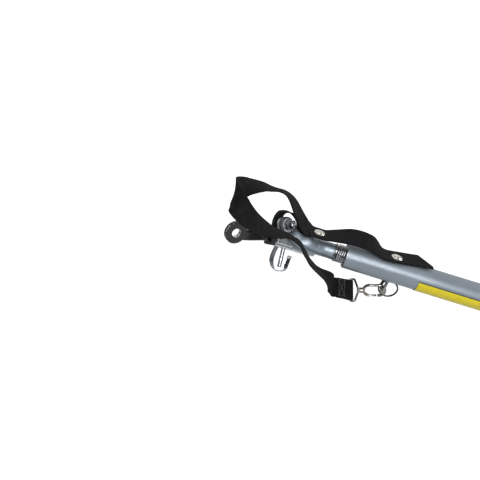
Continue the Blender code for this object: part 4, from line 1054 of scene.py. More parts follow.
# %% The axle bracket
PRONG_HALF = RECEIVER_HALF - RECEIVER_WALL - 0.0004
PRONG_CORNER, PRONG_SHOWN_TO, PRONG_TIP, NECK_END = 0.0009, 0.0052, 0.0520, -0.0070
PLATE_T, PLATE_R, AXLE_HOLE_R, FORGED_GRAIN = 0.0050, 0.0130, 0.00525, 0.00042


def neck_rings():
    plate = PLATE_IN_HITCH.to_3x3()
    across, upright = plate @ ALONG_Y, plate @ Vector((0, 0, 1))
    start = PLATE_AT + across * 0.0025 + Vector((0.0065, 0, 0))
    rings = []
    for k in range(25):
        along, t = k / 24, ease(k / 24)
        centre = Vector((start.x + (NECK_END - start.x) * along, start.y * (1 - t),
                         start.z * (1 - t)))
        side = across.lerp(ALONG_Y, t).normalized()
        lift = upright.lerp(Vector((0, 0, 1)), t).normalized()
        thick = between(0.0025, PRONG_HALF - 0.0002, t) - 0.0001
        height = between(0.0065, PRONG_HALF - 0.0002, t)
        rings.append(super_ring(centre, side, lift, thick, height, 0.35, 40))
    return rings


def prong_ring(x, less=0.0, corner=PRONG_CORNER):
    return square_ring(x, PRONG_HALF - less, corner)


def plate_disc(name, radius, low, high, steps):
    return turned(name, [(0, high), (radius, high), (radius, low), (0, low)],
                  PLATE_IN_HITCH @ turn("X", -90), steps)


bracket = skin("forged_bracket", neck_rings())
prong = skin("prong", [prong_ring(NECK_END - PRONG_HALF), prong_ring(PRONG_SHOWN_TO)])
combine(bracket, prong, "UNION")
combine(bracket, plate_disc("eye_disc", PLATE_R, 0, PLATE_T, 72), "UNION")
modified(bracket, "REMESH", mode="VOXEL", voxel_size=FORGED_GRAIN)
modified(bracket, "SMOOTH", factor=0.5, iterations=5)
combine(bracket, plate_disc("eye_hole", AXLE_HOLE_R, -0.0100, 0.0150, 48), "DIFFERENCE")
settle(bracket, HITCH, 40)
dress(mark_edges(bracket), BLACK_PAINT, "arm", "axle_bracket", slot="bracket_black")

inner_prong = [prong_ring(PRONG_SHOWN_TO), prong_ring(PRONG_TIP - 0.0005),
               prong_ring(PRONG_TIP, 0.0006, 0.0006)]
dress(skin("prong_in_receiver", inner_prong, HITCH), BLACK_PAINT, "arm")

# %% [markdown]
# ### The bush at the receiver's mouth
#
# A rubber bush keeps the prong from rattling. Its outside has two shallow grooves, which are
# sections of the same skin that are a little smaller.

# %% The black bush at the receiver's mouth
BUSH_LENGTH, BUSH_PROUD, BUSH_CORNER = 0.0056, 0.0006, 0.0022
BUSH_FORM = ((0, -0.0006), (0.0003, 0), (0.0016, 0), (0.0020, -0.0005), (0.0024, 0),
             (0.0036, 0), (0.0040, -0.0005), (0.0044, 0), (0.0052, 0), (BUSH_LENGTH, -0.0006))
bush_rings = [square_ring(-GAP - BUSH_LENGTH + x, RECEIVER_HALF + BUSH_PROUD + more, BUSH_CORNER)
              for x, more in BUSH_FORM]
bush_rings += [prong_ring(x, -0.0002) for x in (-GAP, -GAP - BUSH_LENGTH)]
bush = skin("mouth_bush_rubber", bush_rings, HITCH, endless=True)
dress(bush, RUBBER, "arm", "mouth_bush", slot="bush_rubber")

# %% [markdown]
# ## The bolt, its washer and its cap nut
#
# A nut's hexagon has its corners turned off by a cone, which leaves the curved bright edges that
# every real nut shows. A ring of points whose radius is the smaller of the hexagon's and the
# cone's gives that at once. The washer and the bolt are plain turned profiles.

# %% The cap nut
WASHER_T, NUT_H, NUT_FLATS, NUT_SHARP = 0.0014, 0.0050, 0.0120, 28
NUT_BASE = -(EYE_INNER - EYE_T - GAP - WASHER_T - GAP)
BOLT_PLACE = HITCH @ shift(BOLT_X, 0, BOLT_Z) @ turn("X", 90)


def hex_radius(angle, flats):
    step = pi / 3
    return flats / 2 / cos((angle % step) - step / 2)


def hex_stack(name, flats, stations, place, count=96):
    """Rings of (height, cone radius). Each point is inside both the hexagon and the cone."""
    rings = []
    for height, cone in stations:
        reach = [(min(hex_radius(a, flats), cone), a) for a in full_turn(count)]
        rings.append([Vector((r * cos(a), r * sin(a), height)) for r, a in reach])
    return skin(name, rings, place, sharp=NUT_SHARP)


corner_r, nut_top = NUT_FLATS / sqrt(3), NUT_BASE + NUT_H
stations = [
    (NUT_BASE, corner_r * 0.90), (NUT_BASE + 0.0004, corner_r * 0.985),
    (NUT_BASE + 0.0006, corner_r), (nut_top - 0.0009, corner_r),
    (nut_top - 0.0005, corner_r * 0.965), (nut_top - 0.0001, corner_r * 0.90), (nut_top, 0.0056),
]
for k in range(13):
    a = radians(90 * k / 12)
    stations.append((nut_top + 0.0001 + 0.0049 * sin(a), max(0.0051 * cos(a), 0.00001)))
nut = hex_stack("cap_nut", NUT_FLATS, stations, BOLT_PLACE)
dress(mark_edges(nut), NUT_ZINC, "arm", "hitch_nut", slot="nut_zinc")

# %% The washer and the bolt
WASHER_HOLE_R, WASHER_R, BOLT_R = 0.0038, 0.0080, 0.0035
outer = NUT_BASE - GAP
inner = outer - WASHER_T
washer = turned("hitch_washer_plate", [
    (WASHER_HOLE_R, inner), (WASHER_R - 0.0003, inner), (WASHER_R, inner + 0.0003),
    (WASHER_R, outer - 0.0003), (WASHER_R - 0.0003, outer), (WASHER_HOLE_R, outer),
], BOLT_PLACE)
dress(mark_edges(washer), ZINC, "arm", "hitch_washer", slot="washer_zinc")

head = RECEIVER_HALF - RECEIVER_WALL / 2 - GAP
bolt = turned("hitch_bolt_turned", [
    (0, NUT_BASE + 0.0035), (BOLT_R, NUT_BASE + 0.0035), (BOLT_R, head), (0.0061, head),
    (0.0065, head - 0.0004), (0.0065, head - 0.0012), (0.0060, head - 0.0018),
    (0.0035, head - 0.0021), (0.0024, head - 0.0021), (0.0022, head - 0.0008),
    (0, head - 0.0008),
], BOLT_PLACE)
dress(mark_edges(bolt), NUT_ZINC, "arm", "hitch_bolt", slot="bolt_zinc")

# %% [markdown]
# ## The lock pin and its bail
#
# The lock pin holds the prong in the receiver. It is a turned piece with a groove in its head
# and one near its tip, and its head carries the tether under a small cap. A sprung steel strip
# swings on it: the bail goes round the far side and snaps under the pin's tip, so that the pin
# can't rise.

# %% The lock pin
HEAD_LOW = RECEIVER_HALF + GAP
HEAD_TOP = HEAD_LOW + 0.0062
TETHER_T, TETHER_W = 0.0014, 0.0100
CAP_LOW = HEAD_TOP + 0.0006 + TETHER_T
PIN_TIP = -RECEIVER_HALF - 0.0225
HEAD_R, PIN_R, STEM_R = 0.0045, 0.0025, 0.0021
AT_PIN = HITCH @ shift(PIN_X)
pin = turned("lock_pin_turned", [
    (0, CAP_LOW + 0.0012), (0.0028, CAP_LOW + 0.0012), (0.0035, CAP_LOW + 0.0008),
    (0.0038, CAP_LOW + 0.0003), (0.0036, CAP_LOW), (STEM_R, CAP_LOW), (STEM_R, HEAD_TOP),
    (0.0042, HEAD_TOP), (HEAD_R, HEAD_TOP - 0.0003), (HEAD_R, HEAD_LOW + 0.0052),
    (0.0042, HEAD_LOW + 0.0048), (0.0042, HEAD_LOW + 0.0044), (HEAD_R, HEAD_LOW + 0.0040),
    (HEAD_R, HEAD_LOW + 0.0003), (0.0042, HEAD_LOW), (PIN_R, HEAD_LOW), (PIN_R, PIN_TIP + 0.0042),
    (0.0022, PIN_TIP + 0.0038), (0.0022, PIN_TIP + 0.0028), (PIN_R, PIN_TIP + 0.0024),
    (PIN_R, PIN_TIP + 0.0010), (0.0015, PIN_TIP), (0, PIN_TIP),
], AT_PIN, 48)
dress(mark_edges(pin), PIN_ZINC, "arm", "lock_pin", slot="pin_zinc")

# %% [markdown]
# ### A flat strip along a route
#
# The bail, the strap and the tether are all flat strips that bend and twist. Each is a skin
# over a flat section with round edges, which follows a route. The route gives two things at
# each of its points: the place, and the way in which the strip's width points. The UV map
# follows the strip in metres, so a weave drawn on it has its real size and never stretches.

# %% A flat strip along a route
def strip_frames(route, per_span):
    """Sections along the route: a place, the way across the strip, and the way out of it."""
    path = smooth_path([place for place, _ in route], per_span)
    widths = smooth_path([width for _, width in route], per_span)
    frames = []
    for centre, way, width in zip(path, directions(path), widths):
        side = square_to(way, width)
        frames.append((centre, side, way.cross(side)))
    return frames


def flat_section(width, thick, edge_steps=3, across=6):
    """The outline of a flat strip's section: (across, up) points, with round edges."""
    r = thick / 2
    flat = [-width / 2 + r + (width - thick) * k / across for k in range(across + 1)]
    bends = [-pi / 2 + pi * k / (edge_steps + 1) for k in range(1, edge_steps + 1)]
    outline = [(x, -r) for x in flat]
    outline += [(width / 2 - r + r * cos(a), r * sin(a)) for a in bends]
    outline += [(-x, r) for x in flat]
    outline += [(-width / 2 + r - r * cos(a), -r * sin(a)) for a in bends]
    return outline


def running_length(steps):
    total = [0.0]
    for step in steps:
        total.append(total[-1] + step)
    return total


def strip(name, frames, outline, place):
    """A skin over a flat section along frames, with its UV map in metres along and across."""
    bm = bmesh.new()
    weave = bm.loops.layers.uv.new("weave")
    rows = [[bm.verts.new(centre + side * x + lift * z) for x, z in outline]
            for centre, side, lift in frames]
    count = len(outline)
    along = running_length((b[0] - a[0]).length for a, b in zip(frames, frames[1:]))
    around = running_length(hypot(a[0] - b[0], a[1] - b[1])
                            for a, b in zip(outline, outline[1:] + outline[:1]))
    for i in range(len(rows) - 1):
        for k in range(count):
            n = (k + 1) % count
            face = bm.faces.new((rows[i][k], rows[i][n], rows[i + 1][n], rows[i + 1][k]))
            spots = ((i, k), (i, k + 1), (i + 1, k + 1), (i + 1, k))
            for loop, (row, col) in zip(face.loops, spots):
                loop[weave].uv = (along[row], around[col] - around[-1] / 4)
    for row, spot in ((rows[0], 0.0), (rows[-1], along[-1])):
        for loop, (x, z) in zip(bm.faces.new(row).loops, outline):
            loop[weave].uv = (spot + z, x)
    return mesh_piece(name, bm, place, 45)


print("strip tools ready")

# %% The bail and the rivet that it swings on
BAIL_W, BAIL_T = 0.0064, 0.0010
BAIL_Z = HEAD_LOW + 0.0031


def bail_route():
    x = HEAD_R + GAP + BAIL_T / 2
    far = RECEIVER_HALF + 0.0031
    under = PIN_TIP - 0.0044
    beside = PIN_R + GAP + BAIL_W * 0.6
    return [
        ((x, -0.0020, BAIL_Z + 0.0008), (0, 0, 1)),
        ((x, 0.0020, BAIL_Z + 0.0008), (0, 0, 1)),
        ((x, far - 0.0018, BAIL_Z), (0, 0.1, 1)),
        ((x - 0.0010, far, BAIL_Z - 0.0050), (0.5, 0.1, 0.6)),
        ((-0.0010, far + 0.0004, -0.0040), (0.95, 0, 0.4)),
        ((-0.0045, far + 0.0004, -0.0160), (1, 0, 0.2)),
        ((-0.0055, far - 0.0010, -0.0250), (1, 0, -0.1)),
        ((-0.0030, 0.0050, under + 0.0010), (0.9, 0.2, -0.3)),
        ((0.0015, 0.0005, under), (0.7, 0.6, 0)),
        ((beside - 0.0005, -0.0034, under + 0.0034), (0.75, 0.3, -0.2)),
        ((beside, -0.0042, under + 0.0100), (1, 0, 0)),
        ((beside + 0.0006, -0.0046, under + 0.0160), (1, 0, 0)),
        ((beside + 0.0010, -0.0060, under + 0.0200), (1, 0, 0)),
    ]


bail = strip("pin_bail_strip", strip_frames(bail_route(), 10), flat_section(BAIL_W, BAIL_T), AT_PIN)
dress(mark_edges(bail), BRIGHT_ZINC, "bail", "pin_bail", slot="bail_zinc")

front, back = -0.0048, HEAD_R + BAIL_T + 0.0006
rivet = turned("bail_rivet_headed", [
    (0, back + 0.0008), (0.0009, back + 0.0007), (0.0015, back + 0.0004), (0.0018, back),
    (0.0011, back), (0.0011, front), (0.0018, front), (0.0015, front - 0.0004),
    (0.0009, front - 0.0006), (0, front - 0.0007),
], AT_PIN @ shift(0, 0, BAIL_Z) @ ALONG_X, 28)
dress(rivet, ZINC, "arm", "bail_rivet", slot="rivet_zinc")

# %% [markdown]
# ## The safety strap
#
# The strap is one length of 25 mm webbing. It is riveted to the drawbar, humps over the spring,
# is riveted to the pin's tether, swings out in a free loop and comes back to the snap hook,
# where its end is sewn round the swivel. Its route was fitted to the photograph point by point,
# in the drawbar's frame. The free loop is listed in millimetres: a place, then the width's way.

# %% The strap's route
STRAP_W, STRAP_T = 0.0250, 0.0020
STRAP_SEAT = TUBE_R + GAP + STRAP_T / 2
REAR_RIVET_X = 0.0565
FRONT_RIVET = Vector((-0.0370, -0.0030, 0.0190))
SWIVEL_REACH, SWIVEL_WIRE, COLLAR_LENGTH, BOSS_LENGTH = 0.0078, 0.0026, 0.0024, 0.0032
SWIVEL_ROLL, SEWN_LENGTH = 35, 0.0180
SWIVEL_FRONT = -HOOK_LENGTH / 2 - BOSS_LENGTH - GAP - COLLAR_LENGTH
SEWN = HOOK @ shift(SWIVEL_FRONT - SWIVEL_REACH) @ turn("X", SWIVEL_ROLL) @ turn("Y", 27)
SEWN_IN_BAR = BAR.inverted() @ SEWN
FLAP_LENGTH, FLAP_SIDE, STRAP_FINE = 0.0410, 0.0080, 10
FLAP_END = REAR_RIVET_X + FLAP_LENGTH

seated_route = [
    ((FLAP_END, FLAP_SIDE, STRAP_SEAT + 0.0030), (-0.05, 1, 0.05)),
    ((REAR_RIVET_X + FLAP_LENGTH * 0.42, 0.0065, STRAP_SEAT), (-0.12, 1, 0.02)),
    ((REAR_RIVET_X, 0.0020, STRAP_SEAT), (-0.1, 1, 0)),
    ((0.0480, 0, STRAP_SEAT), (0, 1, 0)),
    ((0.0440, 0, STRAP_SEAT), (0, 1, 0)),
    ((0.0380, 0, STRAP_SEAT + 0.0012), (-0.05, 1, 0.05)),
    ((0.0240, 0, STRAP_SEAT + 0.0082), (-0.1, 0.9, 0.35)),
    ((0.0030, 0, STRAP_SEAT + 0.0095), (-0.05, 0.92, 0.35)),
    ((-0.0170, -0.0020, 0.0220), (-0.1, 1, 0.1)),
    ((FRONT_RIVET.x + 0.0080, FRONT_RIVET.y, FRONT_RIVET.z + GAP), (0, 1, 0)),
    (FRONT_RIVET, (0, 1, 0)),
    ((FRONT_RIVET.x - 0.0080, FRONT_RIVET.y, FRONT_RIVET.z + GAP), (0, 1, 0)),
]
FREE_LOOP_MM = (
    (-50.7, -4.0, 22.3, 0.20, 0.97, -0.02), (-56.8, -7.9, 26.7, 0.43, 0.90, -0.08),
    (-67.1, -2.4, 36.4, 0.35, 0.93, -0.15), (-76.2, 2.4, 45.3, 0.23, 0.96, -0.18),
    (-85.7, 3.2, 51.5, 0.08, 0.96, -0.25), (-95.9, 0.9, 54.5, 0.00, 0.95, -0.31),
    (-106.3, -1.7, 55.0, -0.04, 0.99, -0.16), (-115.4, -3.5, 54.9, -0.10, 0.99, 0.03),
    (-125.0, -8.6, 54.9, -0.22, 0.95, 0.22), (-134.0, -18.2, 55.3, -0.53, 0.65, 0.55),
    (-140.1, -34.3, 54.2, -0.06, 0.12, 0.99), (-135.2, -47.6, 51.0, 0.26, 0.17, 0.95),
    (-128.5, -55.3, 47.2, 0.57, 0.56, 0.59), (-117.8, -57.2, 40.9, 0.34, 0.81, 0.49),
    (-104.7, -53.5, 34.2, 0.13, 0.97, 0.22), (-90.7, -46.9, 28.2, 0.04, 1.00, -0.05),
    (-79.9, -40.3, 24.7, 0.03, 0.97, -0.23), (-69.9, -38.4, 23.0, 0.07, 0.94, -0.34),
    (-57.4, -36.8, 17.6, 0.12, 0.91, -0.38), (-48.3, -35.5, 8.0, 0.16, 0.90, -0.41),
    (-39.8, -32.9, -2.0, 0.17, 0.89, -0.42), (-30.0, -26.8, -12.4, 0.17, 0.89, -0.42),
    (-18.7, -19.6, -22.8, 0.21, 0.91, -0.36), (-6.3, -12.3, -33.4, 0.35, 0.94, 0.01),
)
free_route = [((x / 1000, y / 1000, z / 1000), width) for x, y, z, *width in FREE_LOOP_MM]
sewn_way = SEWN_IN_BAR.to_3x3() @ ALONG_Y
sewn_route = [(SEWN_IN_BAR @ Vector((-SEWN_LENGTH - before, 0, 0)), sewn_way)
              for before in (0.006, 0.003, GAP)]
strap_frames = strip_frames(seated_route + free_route + sewn_route, STRAP_FINE)
WEB = flat_section(STRAP_W, STRAP_T, 4, 12)
print("strap:", len(strap_frames), "sections")

# %% [markdown]
# ### The strap in four lengths
#
# When the coupling flexes, the strap has to bend with it, and a piece can bend only across one
# joint. The coupling has two crossed joints with a small core between them, so the strap is cut
# into lengths that meet at places that ride wholly on one body. The flap's corner is cut off at a
# slant, as the real one's is.

# %% The strap's lengths
FLEX_X = 0.0065
TURN_BACK, SLACK, LOW_CUT = 22 * STRAP_FINE, 27 * STRAP_FINE, 32 * STRAP_FINE


def strap_x(i):
    return strap_frames[i][0].x


over = min(range(5 * STRAP_FINE, 9 * STRAP_FINE), key=lambda i: abs(strap_x(i) - FLEX_X))
cuts = [0, over, TURN_BACK, LOW_CUT, len(strap_frames) - 1]
names = ["strap_over_drawbar", "strap_over_spring", "strap_from_stay", "strap_to_hook"]
lengths = [strip(name, strap_frames[start:end + 1], WEB, BAR)
           for name, start, end in zip(names, cuts, cuts[1:])]
slant = BAR @ shift(FLAP_END - 0.0005, FLAP_SIDE - STRAP_W * 0.3, STRAP_SEAT) @ turn("Z", 38)
corner = skin("flap_corner", [square_ring(x, 0.05, 0.001) for x in (0, 0.05)], slant)
combine(lengths[0], corner, "DIFFERENCE")
for piece in lengths:
    piece.data.materials.append(WEBBING)
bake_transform(lengths[0])
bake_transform(lengths[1])
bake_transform(lengths[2])
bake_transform(lengths[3])
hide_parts("strap_flap")
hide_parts("safety_strap")
print("strap cut at sections", cuts)

# %% [markdown]
# ### The sewn end
#
# The strap's end goes round the swivel's wire and is sewn back on itself. Its route runs along
# the upper layer, round the wire in an arc, and back along the lower layer. Rows of lockstitch
# hold it. The seam tree makes them too: points at the stitch length along each row, and on each
# a bead drawn out to a short thread that lies in the webbing.

# %% The sewn end round the swivel
def sewn_loop():
    gap = SWIVEL_WIRE / 2 + GAP + STRAP_T / 2
    half = STRAP_T / 2 + 0.0002
    layer = [(-SEWN_LENGTH, half), (-SEWN_LENGTH * 0.5, half), (-2.4 * gap, half + 0.0003),
             (-gap, gap * 0.82)]
    bends = [pi * 0.62 - 2 * pi * 0.62 * k / 6 for k in range(7)]
    route = layer + [(gap * cos(a), gap * sin(a)) for a in bends]
    route += [(x, -z) for x, z in reversed(layer)]
    frames = strip_frames([((x, 0, z), (0, 1, 0)) for x, z in route], 6)
    return strip("strap_end_sewn", frames, WEB, SEWN)


dress(sewn_loop(), WEBBING, "drawbar", "strap_sewn_loop", slot="sewn_webbing")

# %% Stitches in the sewn end
def box_stitch(x_low, x_high, half_width, height):
    """A box with a cross in it, as sewn ends have."""
    near, far = ([(x, side * half_width, height) for x in (x_low, x_high)] for side in (-1, 1))
    return [[*near, *reversed(far), near[0]], [near[0], far[1]], [far[0], near[1]]]


sewn_rows = []
for height in (STRAP_T + 0.0003, -STRAP_T - 0.0003):
    sewn_rows += box_stitch(-SEWN_LENGTH + 0.0022, -0.0085, 0.0100, height)
stitches = beads("stitches_sewn_end", sewn_rows, SEWN, THREAD, Spacing=0.0030,
                 Size=(0.00125, 0.00032, 0.00032), Seed=2, Unevenness=0.08)
dress(stitches, THREAD, "drawbar")

# %% [markdown]
# ### The tether
#
# A narrow strap keeps the lock pin from getting lost. It goes from under the front rivet, over
# the receiver's ear, and down to the pin's head. Two rows of stitches run along both its faces,
# a hair above the webbing.

# %% The pin's tether
def tether_route():
    level = FRONT_RIVET - Vector((0, 0, STRAP_T / 2 + GAP + TETHER_T / 2))
    away = Vector((-0.92, -0.39, 0))
    across = BAR_IN_HITCH.to_3x3() @ Vector((-0.39, 0.92, 0))
    over_z = BOLT_Z + 0.0105 + 0.0042
    seat_z = HEAD_TOP + GAP + TETHER_T / 2
    return [
        (BAR_IN_HITCH @ (level - away * 0.0065), across),
        (BAR_IN_HITCH @ level, across),
        (BAR_IN_HITCH @ (level + away * 0.0065), across),
        ((0.0286, -0.0221, 0.0155), (0.22, 0.62, 0.75)),
        ((0.0184, -0.0214, 0.0179), (0.55, 0.48, 0.66)),
        ((0.0126, -0.0196, 0.0270), (0.73, 0.45, 0.52)),
        ((0.0075, -0.0165, over_z - 0.0014), (0.85, 0.42, 0.20)),
        ((0.0042, -0.0115, over_z + 0.0004), (0.93, 0.33, 0)),
        ((0.0020, -0.0070, over_z), (0.96, 0.10, 0)),
        ((0.0004, -0.0032, over_z - 0.0027), (0.95, -0.20, 0)),
        ((-0.0008, -0.0008, BOLT_Z + 0.0055), (0.84, -0.54, 0)),
        ((-0.0008, -0.0003, BOLT_Z - 0.0010), (0.82, -0.57, 0)),
        ((0.0012, 0.0010, HEAD_TOP - 0.0010), (0.62, -0.78, 0)),
        ((0.0064, 0.0022, HEAD_TOP - 0.0012), (0.2, -1, 0)),
        ((PIN_X - 0.0074, 0.0012, seat_z - 0.0002), (0, -1, 0)),
        ((PIN_X - 0.0036, 0, seat_z), (0, -1, 0)),
        ((PIN_X + 0.0040, 0, seat_z), (0, -1, 0)),
    ]


tether_frames = strip_frames(tether_route(), 8)
tether = strip("pin_tether_webbing", tether_frames, flat_section(TETHER_W, TETHER_T), HITCH)
dress(tether, NARROW_WEBBING, "arm", "pin_tether", slot="tether_webbing")

thread_z = TETHER_T / 2 + 0.00005
tether_rows = [[centre + side * y + lift * z for centre, side, lift in tether_frames[20:-12]]
               for y in (-0.0032, 0.0032) for z in (thread_z, -thread_z)]
tether_stitches = beads("stitches_tether", tether_rows, HITCH, THREAD, Spacing=0.0026,
                        Size=(0.0010, 0.00022, 0.00022), Seed=4, Unevenness=0.08)
dress(tether_stitches, THREAD, "arm")

# %% [markdown]
# ### The two rivets
#
# Both rivets have a wide flange and a low dome with a dimple, so both are turned from one
# profile, which takes the heights that each one grips. The front rivet also shows its clenched
# end under the tether.

# %% The two rivets
def rivet_profile(low, high, shank=0.0025):
    dome = ((0, 0.0016), (0.0011, 0.00165), (0.0016, 0.0021), (0.0022, 0.0022), (0.0032, 0.0020),
            (0.0042, 0.0015), (0.0048, 0.0008), (0.0052, 0.0006), (0.0062, 0.0006),
            (0.0065, 0.0003), (0.0064, 0))
    return [(radius, high + rise) for radius, rise in dome] + [(shank, high), (shank, low)]


sunk = STRAP_T / 2 - 0.0001
rear_rivet = turned("rear_rivet_domed", rivet_profile(0, STRAP_SEAT + sunk) + [(0, 0.0055)],
                    BAR @ shift(REAR_RIVET_X), 48)
dress(mark_edges(rear_rivet), NICKEL, "drawbar", "strap_rivet_rear", slot="rear_rivet_nickel")

low = FRONT_RIVET.z - STRAP_T / 2 - GAP - TETHER_T - GAP
clenched = [(0.0046, low), (0.0047, low - 0.0004), (0.0042, low - 0.0010), (0.0020, low - 0.0013),
            (0, low - 0.0013)]
front_rivet = turned("front_rivet_domed", rivet_profile(low, FRONT_RIVET.z + sunk) + clenched,
                     BAR @ shift(FRONT_RIVET.x, FRONT_RIVET.y), 48)
dress(mark_edges(front_rivet), NICKEL, "arm", "strap_rivet_front", slot="front_rivet_nickel")

# %% [markdown]
# ## The eye under the drawbar
#
# A bent wire is welded to the tube's underside, and the hook and the ring hang on it. A wire is
# one more skin: circles along a path, carried along without twisting, with slightly rounded
# ends. Weld beads stand round both its feet.

# %% A round wire along a path
END_ROUND, END_STEPS = 0.35, ((0, 0.62), (0.3, 0.90), (1, 1))


def rod_along(name, path, radius, place=None, sides=20):
    """A round wire along a path. Its radius may be a list."""
    radii = radius if isinstance(radius, list) else [radius] * len(path)
    ways = directions(path)
    side = ways[0].orthogonal().normalized()
    stations = []
    for centre, way, size in zip(path, ways, radii):
        side = square_to(way, side)
        stations.append((centre, side, way.cross(side), way, size))

    def rounded_end(centre, side, lift, way, size, inwards):
        full = way * size * END_ROUND * inwards
        return [circle(centre + full * back, side, lift, size * less, sides)
                for back, less in END_STEPS]

    start, *middle, end = stations
    rings = rounded_end(*start, 1)
    rings += [circle(centre, side, lift, size, sides) for centre, side, lift, _, size in middle]
    rings += reversed(rounded_end(*end, -1))
    return skin(name, rings, place)


LUG_HALF, LUG_FOOT, FOOT_R = 0.0085, -TUBE_R * 0.80, 0.0020
lug_corners = [(LUG_X, y, z) for y, z in ((-LUG_HALF, LUG_FOOT), (-LUG_HALF, LUG_BOTTOM),
                                          (LUG_HALF, LUG_BOTTOM), (LUG_HALF, LUG_FOOT))]
lug = rod_along("anchor_eye_wire", rounded(lug_corners, 0.0035, 10), LUG_WIRE_R, BAR, 24)
dress(lug, CAST_NICKEL, "drawbar", "anchor_eye", slot="eye_nickel")


def round_foot(side):
    """Points on the tube round one foot of the wire."""
    run = []
    for k in range(13):
        y = side * LUG_HALF + FOOT_R * sin(k * pi / 6)
        run.append((LUG_X + FOOT_R * cos(k * pi / 6), y, -sqrt(TUBE_R ** 2 - y ** 2) - 0.0001))
    return run


lug_welds = beads("anchor_eye_weld", [round_foot(-1), round_foot(1)], BAR, GREY_PAINT,
                  Spacing=0.0008, Size=(0.0008, 0.0008, 0.0008), Seed=8, Unevenness=0.25)
dress(lug_welds, GREY_PAINT, "drawbar")

# %% [markdown]
# ## The snap hook
#
# The hook is die cast: one bent bar with a boss at its back, a little thinner along its top. The
# gate is a separate piece with its own pivot, because it swings. The swivel's collar turns on
# the hook's boss, and its wire loop takes the strap. Boolean unions join what is cast as one.

# %% The hook's body and gate
HOOK_R = (HOOK_HEIGHT - HOOK_WIRE) / 2
HOOK_HALF = (HOOK_LENGTH - HOOK_HEIGHT) / 2
NOSE_BACK, GATE_WIRE, GATE_GAP = 0.0015, 0.0026, 0.0011
GATE = HOOK @ shift(-HOOK_HALF, 0, -HOOK_R)
BOSS_FRONT = -HOOK_LENGTH / 2 - BOSS_LENGTH


def waisted(wire, less, at):
    """A wire's radius, thinned in its middle."""
    return wire / 2 * (1 - less * sin(pi * at))


def bow(middle, start):
    """Half a circle of the hook's wire, as (x, z, radius)."""
    angles = [start + pi * k / 24 for k in range(25)]
    return [(middle + HOOK_R * cos(a), HOOK_R * sin(a), HOOK_WIRE / 2) for a in angles]


nose = HOOK_HALF - NOSE_BACK
stations = [(nose, -HOOK_R, HOOK_WIRE / 2 * 0.96),
            (HOOK_HALF - NOSE_BACK * 0.5, -HOOK_R, HOOK_WIRE / 2)]
stations += bow(HOOK_HALF, -pi / 2)
stations += [(HOOK_HALF - 2 * HOOK_HALF * k / 7, HOOK_R, waisted(HOOK_WIRE, 0.10, k / 7))
             for k in range(1, 7)]
stations += bow(-HOOK_HALF, pi / 2)
hook_cast = rod_along("snap_hook_cast", [Vector((x, 0, z)) for x, z, _ in stations],
                      [radius for *_, radius in stations], sides=28)
boss = turned("boss", [
    (0, -HOOK_LENGTH / 2 + 0.0018), (0.0030, -HOOK_LENGTH / 2 + 0.0018),
    (0.0034, -HOOK_LENGTH / 2 + 0.0006), (0.0034, BOSS_FRONT + 0.0004), (0.0030, BOSS_FRONT),
    (0, BOSS_FRONT),
], ALONG_X, 40)
combine(hook_cast, boss, "UNION")
dress(settle(hook_cast, HOOK, 40), CAST_NICKEL, "hook", "hook_body", slot="hook_nickel")

gate_length = 2 * HOOK_HALF - NOSE_BACK - 2 * GATE_GAP
gate = rod_along("snap_hook_gate",
                 [Vector((GATE_GAP + gate_length * k / 12, 0, 0)) for k in range(13)],
                 [waisted(GATE_WIRE, 0.08, k / 12) for k in range(13)], GATE)
dress(gate, CAST_NICKEL, "gate", "hook_gate", slot="gate_nickel")

# %% The swivel's collar and wire
COLLAR_R = 0.0042
back, front = BOSS_FRONT - GAP, SWIVEL_FRONT
collar = turned("swivel_eye_cast", [
    (0, back), (0.0038, back), (COLLAR_R, back - 0.0004), (COLLAR_R, front + 0.0004),
    (0.0038, front), (0, front),
], ALONG_X, 40)
half, inset = STRAP_W / 2 + 0.0004 + SWIVEL_WIRE / 2, COLLAR_R - SWIVEL_WIRE / 2
one_side = [(front + COLLAR_LENGTH / 2, inset, 0), (front - SWIVEL_WIRE, half, 0),
            (front - SWIVEL_REACH, half, 0)]
corners = one_side + [(x, -y, z) for x, y, z in reversed(one_side)]
loop_path = rounded([turn("X", SWIVEL_ROLL) @ Vector(p) for p in corners], SWIVEL_WIRE * 0.7, 6)
combine(collar, rod_along("swivel_wire", loop_path, SWIVEL_WIRE / 2), "UNION")
dress(settle(collar, HOOK, 40), CAST_NICKEL, "drawbar", "hook_swivel_eye", slot="swivel_nickel")

# %% [markdown]
# ### The split ring
#
# A split ring is two turns of a flattened wire. The coil tree makes the two turns from round
# wire, and the points are then drawn apart from the ring's middle circle, to twice as wide.

# %% The split ring
RING_R, RING_WIRE, RING_WIDER = 0.0110, 0.00098, 2
ring = grow("split_ring_coil", COIL, Wire=RING_WIRE, Coil=RING_R, Pitch=RING_WIRE, Turns=2.0,
            Steps=72, Sides=12, Material=RING_STEEL)
for vert in ring.data.vertices:
    out_by = vert.co.xy.length
    vert.co.xy *= (RING_R + (out_by - RING_R) * RING_WIDER) / out_by
hung = RING_R - LUG_WIRE_R - GAP - 0.0010
ring.data.transform(BAR @ shift(LUG_X, 0.0034, LUG_BOTTOM) @ turn("Y", -14)
                    @ shift(hung, RING_WIRE) @ turn("X", 90))
dress(ring, RING_STEEL, "ring", "split_ring", slot="ring_steel")

# %% [markdown]
# ## Floor and light
#
# The floor lies as far below the drawbar as the road would. The camera sees it and the world
# white, and it keeps the soft shadow. Metal shows what is round it, so a bare white room would
# make it flat: mirrored rays see a room that is bright ahead and dark behind, and the light
# that falls on the pieces comes from four soft lamps and a dim pale world.

# %% The floor
FLOOR_Z, FLOOR_HALF, FLOOR_LIFT = -0.2400, 30, 0.36


